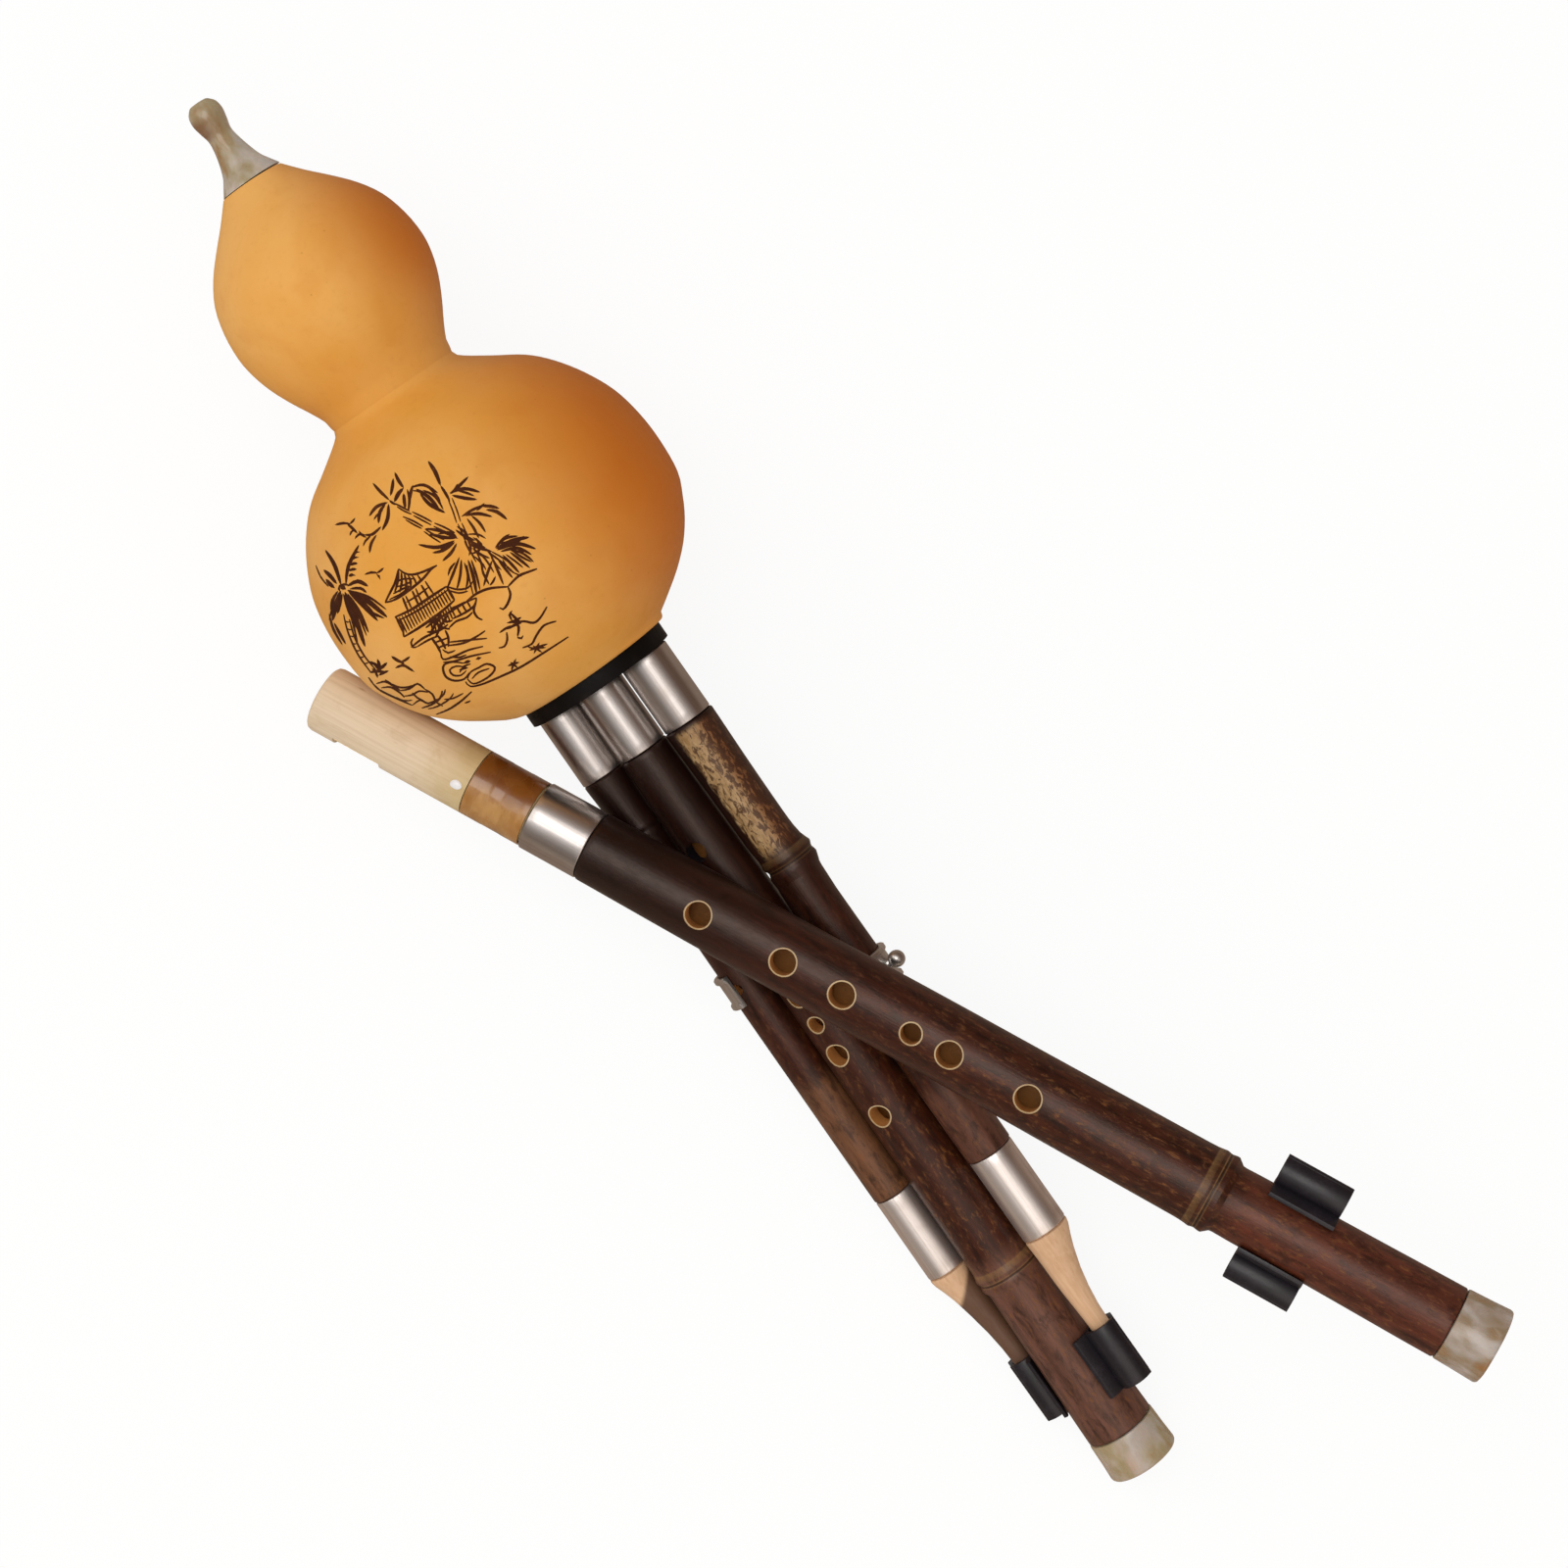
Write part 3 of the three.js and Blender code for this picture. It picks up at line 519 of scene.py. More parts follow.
    def bump(self, height: Socket, depth: float, strength: float = 1.0,
             under: Optional[Socket] = None) -> Socket:
        """Returns a normal that follows a height, with a depth in millimetres."""
        node = self.nodes.new("ShaderNodeBump")
        node.inputs["Strength"].default_value = strength
        node.inputs["Distance"].default_value = depth * MM
        self.links.new(height, node.inputs["Height"])
        if under is not None:
            self.links.new(under, node.inputs["Normal"])
        return node.outputs[0]

    def set(self, **values: Value) -> None:
        """Sets the shader's own sockets, named with _ for each space."""
        for name, value in values.items():
            self.feed(self.skin.inputs[name.replace("_", " ")], value)


def grey(bright: float) -> Color:
    """Returns a neutral colour."""
    return bright, bright, bright, 1.0


def fill_ramp(ramp: bpy.types.ColorRamp, stops: Sequence[Tuple[float, Color]]) -> None:
    """Puts a row of colour stops into a colour ramp.

    Args:
        ramp: The ramp, which starts with two stops.
        stops: Each stop's place and colour.
    """
    while len(ramp.elements) < len(stops):
        ramp.elements.new(1.0)
    for element, (at, color) in zip(ramp.elements, stops):
        element.position = at
        element.color = color


def tone(red: float, green: float, blue: float) -> Color:
    """Returns a colour from screen values between 0 and 255."""
    return tuple((c / 255 / 12.92 if c <= 10 else ((c / 255 + 0.055) / 1.055) ** 2.4)
                 for c in (red, green, blue)) + (1.0,)


@dataclass(frozen=True)
class GourdSkin:
    """Dried gourd under clear varnish: even honey colour, deeper orange on its right side."""

    pale: Color = tone(220, 165, 92)
    honey: Color = tone(214, 150, 64)
    deep: Color = tone(182, 93, 0)
    cloud_size: float = 44.0
    side_from: float = 3.0
    side_to: float = 53.0
    side_share: float = 0.95

    def material(self) -> bpy.types.Material:
        """Returns the finished material."""
        paint = Paint("gourd_skin")
        place = paint.place()
        x, y, z = paint.split(place)
        cloud = paint.noise(place, 1 / self.cloud_size, 4, 0.5, 0.3)
        color = paint.mix(paint.span(cloud, 0.3, 0.7), self.honey, self.pale)
        grain = paint.noise(place, 0.5, 6, 0.65)
        color = paint.mix(paint.span(grain, 0.5, 0.8, 0, 0.16), color, tone(180, 116, 44))
        blush = paint.noise(paint.vector("ADD", place, (80, 20, 50)), 0.05, 3, 0.5, 0.6)
        color = paint.mix(paint.span(blush, 0.5, 0.72, 0, 0.22), color, tone(196, 124, 48))
        speck = paint.times(paint.span(paint.cells(place, 0.34), 0.05, 0.12, 1, 0),
                            paint.span(blush, 0.52, 0.66, 0, 0.4))
        color = paint.mix(speck, color, tone(120, 84, 30))
        across = paint.times(y, paint.span(x, -82, -52, 1.6, 1.0))
        across = paint.plus(across, paint.times(cloud, 16))
        across = paint.plus(across, paint.times(z, 0.12))
        side = paint.span(across, self.side_from + 8, self.side_to + 8, 0, self.side_share)
        color = paint.mix(side, color, self.deep)
        height = paint.plus(grain, paint.times(cloud, 2.0))
        paint.set(Base_Color=color, Roughness=paint.span(grain, 0.2, 0.8, 0.42, 0.52),
                  Normal=paint.bump(height, 0.08, 0.35), Specular_IOR_Level=0.14,
                  Specular_Tint=(1, 0.72, 0.4, 1))
        return paint.material


@dataclass(frozen=True)
class HornSkin:
    """Polished horn: soft milky grey clouds with olive and amber, and a brown patch if wanted."""

    name: str
    milk: Color = tone(188, 174, 160)
    olive: Color = tone(150, 134, 96)
    amber: Color = tone(140, 98, 52)
    olive_share: float = 0.85
    patch_from: float = 0.0
    patch_to: float = 0.0
    shift: float = 0.0

    def material(self) -> bpy.types.Material:
        """Returns the finished material."""
        paint = Paint(self.name)
        place = paint.stretch(paint.place(), (0.7, 1, 1), (self.shift, self.shift, 0))
        cloud = paint.noise(place, 0.085, 3, 0.5, 0.4)
        drift = paint.noise(paint.vector("ADD", place, (40, 0, 17)), 0.12, 3, 0.5, 0.3)
        color = paint.mix(paint.span(cloud, 0.36, 0.64), self.milk, tone(168, 158, 150))
        color = paint.mix(paint.span(drift, 0.38, 0.6, 0, self.olive_share), color, self.olive)
        warm = paint.times(paint.span(drift, 0.5, 0.7), paint.span(cloud, 0.45, 0.62))
        color = paint.mix(paint.times(warm, self.olive_share), color, self.amber)
        fine = paint.noise(paint.stretch(place, (0.6, 1, 1)), 0.35, 4, 0.6, 0.6)
        color = paint.mix(paint.span(fine, 0.5, 0.75, 0, 0.2), color, tone(206, 200, 192))
        if self.patch_to > self.patch_from:
            x, y, _ = paint.split(paint.place())
            middle = (self.patch_from + self.patch_to) / 2
            reach = (self.patch_to - self.patch_from) / 2
            away = paint.math("ABSOLUTE", paint.math("SUBTRACT", x, middle))
            away = paint.plus(away, paint.times(cloud, reach))
            patch = paint.times(paint.span(away, 0.9 * reach, 1.7 * reach, 0.85, 0),
                                paint.span(y, -2.6, 1.6, 1, 0.25))
            color = paint.mix(patch, color, tone(112, 70, 26))
        paint.set(Base_Color=color, Roughness=paint.span(fine, 0.3, 0.8, 0.22, 0.36),
                  Normal=paint.bump(fine, 0.04, 0.3), Coat_Weight=0.3, Coat_Roughness=0.15,
                  Subsurface_Weight=0.12, Subsurface_Scale=0.002)
        return paint.material


@dataclass(frozen=True)
class BambooSkin:
    """Dark stained bamboo: nearly black at the collar, browner and more streaked lower down; further
    down lighter pink-brown, partly its own tone and partly painted sheen.
    """

    name: str
    length: float
    node_at: float
    dark: Color = tone(20, 9, 6)
    brown: Color = tone(70, 30, 14)
    tan: Color = tone(118, 72, 32)
    brown_from: float = 20.0
    brown_to: float = 120.0
    tan_from: float = 60.0
    tan_to: float = 160.0
    tan_share: float = 0.8
    node_pale: float = 0.6
    worn: Optional[Point] = None
    # The colour further down the pipe: partly the bamboo's lighter tone, partly painted sheen
    # standing for the soft pink-grey gloss of the lower pipe.
    below: Optional[Color] = None
    below_after: float = 2.0
    below_blend: float = 8.0
    seed: float = 0.0
    node_reach: float = 8.0
    pale_stops: Tuple[Point, ...] = (
        (0.0, 0), (0.17, 0), (0.2, 0.7), (0.34, 0.35), (0.36, 0.05), (0.44, 0.1), (0.455, 1),
        (0.485, 0), (0.53, 0.1), (0.545, 0.6), (0.58, 0))
    groove_stops: Tuple[Point, ...] = ((0.0, 0), (0.47, 0), (0.495, 1), (0.53, 1), (0.55, 0))

    def material(self) -> bpy.types.Material:
        """Returns the finished material."""
        paint = Paint(self.name)
        own = paint.place()
        x, y, z = paint.split(own)
        place = paint.vector("ADD", own, (self.seed, self.seed, self.seed))
        streak = paint.noise(paint.stretch(place, (0.055, 0.42, 0.42)), 1.0, 6, 0.62, 0.3)
        mottle = paint.noise(paint.stretch(place, (0.28, 0.75, 0.75)), 1.0, 7, 0.72, 0.4)
        fibre = paint.noise(paint.stretch(place, (0.03, 2.6, 2.6)), 1.0, 3, 0.5)
        color = paint.mix(paint.times(paint.span(streak, 0.25, 0.8, 0.25, 1.0),
                                      paint.span(x, self.brown_from, self.brown_to, 0.15, 1.0)),
                          self.dark, self.brown)
        # Further down the colour lightens: partly the bamboo's own tone, partly painted sheen.
        if self.below is not None:
            first = self.node_at + self.below_after
            lower = paint.mix(paint.span(streak, 0.2, 0.75, 0.35, 1.0), self.dark, self.below)
            color = paint.mix(paint.span(x, first, first + self.below_blend, 0, 0.85), color,
                              lower)
        tan = paint.times(paint.span(mottle, 0.51, 0.7, 0, self.tan_share),
                          paint.span(x, self.tan_from, self.tan_to))
        color = paint.mix(tan, color, self.tan)
        blot = paint.noise(paint.stretch(place, (0.12, 0.34, 0.34), (7, 3, 5)), 1.0, 6, 0.7, 0.5)
        color = paint.mix(paint.span(blot, 0.48, 0.66, 0, 0.62), color, self.dark)
        if self.worn is not None:
            color = self.worn_stripe(paint, color, x, y, z, mottle, place)
        color = self.node_lines(paint, color, x, mottle)
        height = paint.plus(fibre, paint.times(mottle, 1.5))
        paint.set(Base_Color=color, Roughness=paint.span(mottle, 0.3, 0.75, 0.3, 0.48),
                  Normal=paint.bump(height, 0.08, 0.5), Specular_IOR_Level=0.42,
                  Specular_Tint=(1, 0.8, 0.72, 1), Coat_Weight=0.06, Coat_Roughness=0.24)
        return paint.material

    def worn_stripe(self, paint: Paint, color: Socket, x: Socket, y: Socket, z: Socket,
                    mottle: Socket, place: Socket) -> Socket:
        """Adds a pale stripe, rubbed through to the raw skin, with dark flecks along it.

        Args:
            paint: The material being built.
            color: The colour so far.
            x: The distance from the collar end.
            y: The place across the pipe.
            z: The height in the pipe.
            mottle: The pipe's mottled value.
            place: The shifted coordinates that the flecks follow.

        Returns:
            The colour with the stripe.
        """
        start, end = self.worn
        around = paint.math("ARCTAN2", y, z)
        around = paint.plus(around, paint.times(mottle, 0.5))
        stripe = paint.times(paint.span(around, -0.62, -0.42),
                             paint.span(around, 0.45, 1.5, 1, 0.25))
        ends = paint.times(paint.span(x, start, start + 2),
                           paint.span(paint.plus(x, paint.times(mottle, 6)),
                                     end, end + 5, 1, 0))
        fleck = paint.noise(paint.stretch(place, (0.35, 0.9, 0.9)), 1.0, 5, 0.7, 0.9)
        right = paint.span(around, -0.2, 0.9, 0.54, 0.44)
        holes = paint.span(paint.math("SUBTRACT", fleck, right), -0.02, 0.03)
        pale = paint.mix(paint.span(mottle, 0.3, 0.7), tone(132, 100, 62), tone(172, 144, 104))
        pale = paint.mix(paint.span(around, 0.1, 0.8), pale, tone(120, 76, 44))
        pale = paint.mix(paint.times(holes, 0.85), pale, tone(56, 30, 17))
        return paint.mix(paint.times(stripe, ends), color, pale)

    def node_lines(self, paint: Paint, color: Socket, x: Socket, mottle: Socket) -> Socket:
        """Adds the pale and dark lines round a node.

        Args:
            paint: The material being built.
            color: The colour so far.
            x: The distance from the collar end.
            mottle: The pipe's mottled value.

        Returns:
            The colour with the node's lines.
        """
        near = paint.span(x, self.node_at - self.node_reach, self.node_at + self.node_reach)
        lines = paint.ramp(near, [(at, grey(bright)) for at, bright in self.pale_stops])
        share = paint.times(lines, paint.span(mottle, 0.25, 0.6, 0.35, 1))
        share = paint.times(share, self.node_pale)
        groove = paint.ramp(near, [(at, grey(bright)) for at, bright in self.groove_stops])
        color = paint.mix(paint.times(groove, 0.7), color, tone(20, 10, 8))
        return paint.mix(share, color, tone(142, 110, 66))


@dataclass(frozen=True)
class SheetMetal:
    """Bright rolled sheet: long soft drawing marks, fine turning marks and faint stains."""

    name: str
    base: Color = (0.62, 0.58, 0.56, 1.0)
    smooth: float = 0.31
    shift: float = 0.0

    def material(self) -> bpy.types.Material:
        """Returns the finished material."""
        paint = Paint(self.name)
        place = paint.vector("ADD", paint.place(), (self.shift, 0, self.shift))
        drawn = paint.noise(paint.stretch(place, (0.02, 1.4, 1.4)), 1.0, 4, 0.6)
        stain = paint.noise(place, 0.12, 3, 0.5, 0.3)
        color = paint.mix(paint.span(drawn, 0.4, 0.7, 0, 0.35), self.base, (0.3, 0.25, 0.22, 1))
        color = paint.mix(paint.span(stain, 0.45, 0.75, 0, 0.3), color, (0.42, 0.33, 0.25, 1))
        rough = paint.plus(paint.span(drawn, 0.3, 0.7, self.smooth - 0.03,
                                             self.smooth + 0.07),
                           paint.span(stain, 0.5, 0.8, 0, 0.06))
        paint.set(Base_Color=color, Metallic=1.0, Roughness=rough,
                  Normal=paint.bump(drawn, 0.005, 0.1))
        return paint.material


@dataclass(frozen=True)
class PaleWood:
    """Scraped bamboo or carved wood, bare, with long fibres, and where asked a painted shadow past a
    slanting edge.
    """

    name: str
    light: Color = tone(214, 194, 166)
    dark: Color = tone(178, 150, 112)
    fibre_length: float = 40.0
    fibre_width: float = 0.9
    stain_from: Optional[float] = None
    stain_to: float = 0.0
    grain_strength: float = 0.6
    # Where the painted shadow starts along X, slanted by Y; None for no painted shadow.
    painted_shadow_from: Optional[float] = None

    def material(self) -> bpy.types.Material:
        """Returns the finished material."""
        paint = Paint(self.name)
        place = paint.place()
        fibre = paint.noise(paint.stretch(place, (1 / self.fibre_length, 1 / self.fibre_width,
                                                  1 / self.fibre_width)), 1.0, 4, 0.6, 0.3)
        cloud = paint.noise(place, 0.09, 4, 0.6, 0.6)
        color = paint.mix(paint.span(fibre, 0.35, 0.75, 0, self.grain_strength), self.light,
                          self.dark)
        color = paint.mix(paint.span(cloud, 0.5, 0.75, 0, 0.45), color, self.dark)
        if self.stain_from is not None:
            x, _, _ = paint.split(place)
            edge = paint.plus(x, paint.times(cloud, 8))
            color = paint.mix(paint.span(edge, self.stain_from, self.stain_to, 0, 0.6), color,
                              tone(176, 150, 84))
        # Painted shadow: past a slanting edge the wood turns dark brown, standing for the main pipe's
        # shadow on the plug.
        if self.painted_shadow_from is not None:
            x, y, _ = paint.split(place)
            edge = paint.plus(x, paint.times(y, 1.1))
            color = paint.mix(paint.span(edge, self.painted_shadow_from, self.painted_shadow_from + 2.5, 0, 0.9),
                              color, tone(74, 42, 26))
        mark = paint.span(paint.cells(paint.stretch(place, (0.35, 1, 1)), 0.16), 0.02, 0.09,
                          0.5, 0)
        color = paint.mix(mark, color, tone(150, 108, 60))
        paint.set(Base_Color=color, Roughness=paint.span(fibre, 0.3, 0.7, 0.5, 0.66),
                  Normal=paint.bump(fibre, 0.06, 0.5))
        return paint.material


@dataclass(frozen=True)
class Amber:
    """Olive-amber sealing film, glossy, with soft bands where it overlaps itself, and painted shade:
    darker orange towards one side.
    """

    name: str = "amber_film"
    light: Color = tone(180, 136, 80)
    dark: Color = tone(152, 104, 50)
    # The colour of the painted shade: darker orange laid on one side of the film.
    shade: Color = tone(104, 52, 8)

    def material(self) -> bpy.types.Material:
        """Returns the finished material."""
        paint = Paint(self.name)
        place = paint.place()
        cloud = paint.noise(paint.stretch(place, (1.0, 0.5, 0.5)), 0.2, 3, 0.5, 0.2)
        band = paint.noise(paint.stretch(place, (1.0, 0.12, 0.12)), 0.45, 2, 0.5)
        color = paint.mix(paint.span(cloud, 0.35, 0.68), self.dark, self.light)
        color = paint.mix(paint.span(band, 0.5, 0.62, 0, 0.3), color, tone(164, 122, 62))
        _, across, _ = paint.split(place)
        # Painted shade: the film turns darker orange towards its +Y side.
        color = paint.mix(paint.span(across, -1.0, 5.5, 0, 0.9), color, self.shade)
        paint.set(Base_Color=color, Roughness=paint.span(cloud, 0.3, 0.7, 0.2, 0.34),
                  Normal=paint.bump(band, 0.06, 0.5), Coat_Weight=0.6, Coat_Roughness=0.1)
        return paint.material


@dataclass(frozen=True)
class PlainSkin:
    """A plain finish with a fine texture: moulded black, brass, raw hole edges, burns."""

    name: str
    base: Color
    worn: Color
    rough: float
    metal: float = 0.0
    coat: float = 0.0
    grain: float = 1.4
    depth: float = 0.02
    shine: float = 0.5

    def material(self) -> bpy.types.Material:
        """Returns the finished material."""
        paint = Paint(self.name)
        place = paint.place()
        fine = paint.noise(place, self.grain, 5, 0.6)
        cloud = paint.noise(place, 0.18, 4, 0.6, 0.4)
        share = paint.times(paint.span(cloud, 0.45, 0.7), paint.span(fine, 0.3, 0.7))
        paint.set(Base_Color=paint.mix(share, self.base, self.worn), Metallic=self.metal,
                  Roughness=paint.span(fine, 0.25, 0.75, self.rough - 0.06, self.rough + 0.08),
                  Normal=paint.bump(fine, self.depth, 0.4), Coat_Weight=self.coat,
                  Coat_Roughness=0.2, Specular_IOR_Level=self.shine)
        return paint.material


FINISHES = {
    "black": PlainSkin("black_moulding", tone(22, 18, 25), tone(36, 30, 40), 0.42,
                       coat=0.1).material(),
    "collar": PlainSkin("collar_black", tone(12, 9, 8), tone(24, 18, 16), 0.5, grain=0.8,
                        depth=0.05, shine=0.12).material(),
    "raw_edge": PlainSkin("raw_hole_edge", tone(186, 162, 124), tone(158, 128, 90),
                          0.55).material(),
    "raw_bore": PlainSkin("raw_bore", tone(176, 118, 58), tone(150, 96, 44), 0.7).material(),
    "burn": PlainSkin("burnt_line", tone(62, 28, 8), tone(92, 48, 16), 0.7,
                      shine=0.1).material(),
    "brass": PlainSkin("thin_brass", (0.55, 0.38, 0.14, 1), (0.42, 0.27, 0.09, 1), 0.32,
                       metal=1.0).material(),
    "glue": PlainSkin("white_glue", tone(226, 226, 228), tone(206, 206, 210), 0.3,
                      coat=0.3).material(),
    "amber": Amber().material(),
}


# The wind chest


@dataclass
class WindChest:
    """The two-bulb gourd, its horn mouthpiece and the black collar that carries the pipes."""

    lower_radius: float = 51.5
    waist_radius: float = 19.3
    upper_radius: float = 29.6
    stem_radius: float = 9.2
    mouth_to_lower: float = 38.3
    lower_to_waist: float = 51.8
    waist_to_upper: float = 28.9
    upper_to_stem: float = 36.2
    wall: float = 3.0
    sides: int = 112
    stem_shares: Tuple[Point, ...] = ((0.14, 0.22), (0.28, 0.46), (0.43, 0.69), (0.6, 0.87),
                                      (0.8, 0.97), (1, 1))
    shoulder_shares: Tuple[Point, ...] = ((0.2, 0.93), (0.4, 0.76), (0.6, 0.5), (0.78, 0.22),
                                          (0.92, 0.03), (1, 0))
    belly_shares: Tuple[Point, ...] = ((0.05, 0.013), (0.15, 0.24), (0.25, 0.48), (0.36, 0.65),
                                       (0.5, 0.803), (0.66, 0.925), (0.83, 0.985), (1, 1))
    base_shares: Tuple[Point, ...] = ((0.25, 0.985), (0.41, 0.937), (0.55, 0.88), (0.69, 0.8),
                                      (0.82, 0.695), (0.93, 0.58), (1, 0.5))
    lip: Tuple[Triple, ...] = ((38.9, 25.1, 0.3), (39.5, 24.4, 0.6), (39.9, 23.6, 0.85),
                               (39.9, 22.9, 1), (39.5, 22.3, 1), (38.2, 22.1, 1),
                               (38.0, 21.7, 1), (35.3, 21.7, 1))
    lean: float = 0.9
    lean_from_share: float = 0.8
    lean_reach: float = 45
    mouthpiece_length: float = 24.4
    skirt_radius: float = 8.9
    neck_radius: float = 3.6
    ball_radius: float = 4.7
    bore_radius: float = 1.5
    shank_radius: float = 3.0
    shank_length: float = 6.0
    skirt_shares: Tuple[Point, ...] = ((0.05, 0.85), (0.1, 0.7), (0.2, 0.42), (0.36, 0.17),
                                       (0.5, 0.03), (0.6, 0))
    ball_shares: Tuple[Point, ...] = ((0.7, 0.89), (0.82, 1), (0.92, 0.92), (0.98, 0.68))
    collar_centre: Point = (1.678, -0.886)
    collar_from: float = 38.6
    collar_to: float = 44.6
    collar_radius: float = 21.9
    boss_radius: float = 21.4
    boss_from: float = 30.3
    bore_ends: Point = (-30, 6)
    collar_bores: Tuple[Tuple[Placing, float], ...] = (
        (MAIN_PLACE, 6.95), (LEFT_PLACE, 6.45), (RIGHT_PLACE, 7.15))

    def outline(self) -> List[Point]:
        """Returns the gourd's outer outline, from the stem to the mouth."""
        waist = -self.lower_to_waist
        upper = waist - self.waist_to_upper
        stem = upper - self.upper_to_stem
        points = [(stem, self.stem_radius)]
        stretches = (
            (self.stem_shares, stem, self.upper_to_stem, self.stem_radius,
             self.upper_radius - self.stem_radius),
            (self.shoulder_shares, upper, self.waist_to_upper, self.waist_radius,
             self.upper_radius - self.waist_radius),
            (self.belly_shares, waist, self.lower_to_waist, self.waist_radius,
             self.lower_radius - self.waist_radius),
            (self.base_shares, 0.0, self.mouth_to_lower, 0.0, self.lower_radius))
        for shares, start, length, base, step in stretches:
            points += [(start + along * length, base + rise * step) for along, rise in shares]
        return points

    def stem(self) -> float:
        """Returns where the gourd's stem end lies."""
        return -self.lower_to_waist - self.waist_to_upper - self.upper_to_stem

    def ring(self, x: float, radius: float) -> Ring:
        """Returns a ring of the gourd or mouthpiece: the upper bulb leans a little sideways."""
        share = min(max((-self.lower_to_waist * self.lean_from_share - x) / self.lean_reach, 0), 1)
        return Ring(x, radius, y=self.lean * share * share * (3 - 2 * share))

    def mouth_ring(self, x: float, radius: float, share: float) -> Ring:
        """Returns a ring of the gourd's lip, moved by a share towards the collar's centre."""
        y, z = self.collar_centre
        return Ring(x, radius, y=y * share, z=z * share)

    def build_gourd(self) -> bpy.types.Object:
        """Builds the hollow gourd, cut flat where it rests.

        Returns:
            The gourd, in its place.
        """
        rings = [self.ring(x, r) for x, r in smooth_outline(self.outline(), 2.6)]
        rings += [self.mouth_ring(x, r, share) for x, r, share in self.lip]
        rings += [self.ring(x, r - self.wall)
                  for x, r in reversed(smooth_outline(self.outline(), 6.0))
                  if self.stem() + self.wall < x < self.mouth_to_lower - self.wall]
        neck = self.shank_radius + FIT_GAP
        rings += [self.ring(self.stem() + self.wall, neck), self.ring(self.stem(), neck), rings[0]]
        gourd = loft("gourd", rings, self.sides, Ends.JOINED)
        roughen(gourd, 0.5, 38, seed=3.1)
        settle(gourd, GOURD_PLACE)
        pick(gourd)
        bpy.ops.object.mode_set(mode="EDIT")
        bpy.ops.mesh.select_all(action="SELECT")
        bpy.ops.mesh.bisect(plane_co=(0, 0, 0), plane_no=(0, 0, 1), use_fill=True,
                            clear_inner=True, threshold=WELD)
        bpy.ops.object.mode_set(mode="OBJECT")
        gourd.data.materials.append(GourdSkin().material())
        hand_over(gourd, "instrument", "gourd", "gourd_shell")
        return gourd

    def build_mouthpiece(self) -> None:
        """Builds the horn mouthpiece, with its bore and the shank inside the stem."""
        face = self.stem() - FIT_GAP
        step = self.skirt_radius - self.neck_radius
        outer = [(face, self.skirt_radius)]
        outer += [(face - along * self.mouthpiece_length, self.neck_radius + rise * step)
                  for along, rise in self.skirt_shares]
        outer += [(face - along * self.mouthpiece_length, size * self.ball_radius)
                  for along, size in self.ball_shares]
        tip = face - self.mouthpiece_length
        outer.append((tip, self.bore_radius + 1.0))
        back = [(tip + 0.6, self.bore_radius), (self.stem() + self.shank_length, self.bore_radius),
                (self.stem() + self.shank_length, self.shank_radius), (face, self.shank_radius)]
        rings = [self.ring(x, r) for x, r in smooth_outline(outer, 0.8) + back]
        horn = loft("mouthpiece_horn", rings + rings[:1], 56, Ends.JOINED)
        roughen(horn, 0.3, 7, (1.6, 1, 1), 8.4)
        skin = HornSkin("mouthpiece_skin", patch_from=tip + 3.0, patch_to=tip + 11.0, shift=4.0)
        finish(horn, skin.material(), GOURD_PLACE, 50, "instrument", "horn", "mouthpiece")

    def build_collar(self) -> None:
        """Builds the collar: a turned disc bored for the three pipes, with soft edges."""
        y, z = self.collar_centre
        outline = [(self.boss_from, self.boss_radius - 1), (self.boss_from + 1, self.boss_radius),
                   (self.collar_from, self.boss_radius), (self.collar_from, self.collar_radius),
                   (self.collar_to, self.collar_radius)]
        collar = loft("collar_disc", [Ring(x, r, y=y, z=z) for x, r in outline], 96, Ends.CAPPED)
        home = GOURD_PLACE.matrix().inverted()
        for place, radius in self.collar_bores:
            bore = turned("bore", [(end, radius) for end in self.bore_ends], 64, Ends.CAPPED)
            bore.data.transform(home @ place.matrix())
            combine(collar, bore, "DIFFERENCE")
        bevel(collar, 0.5, 3, 50)
        finish(collar, FINISHES["collar"], GOURD_PLACE, 30, "instrument", "black_plastic",
               "collar")


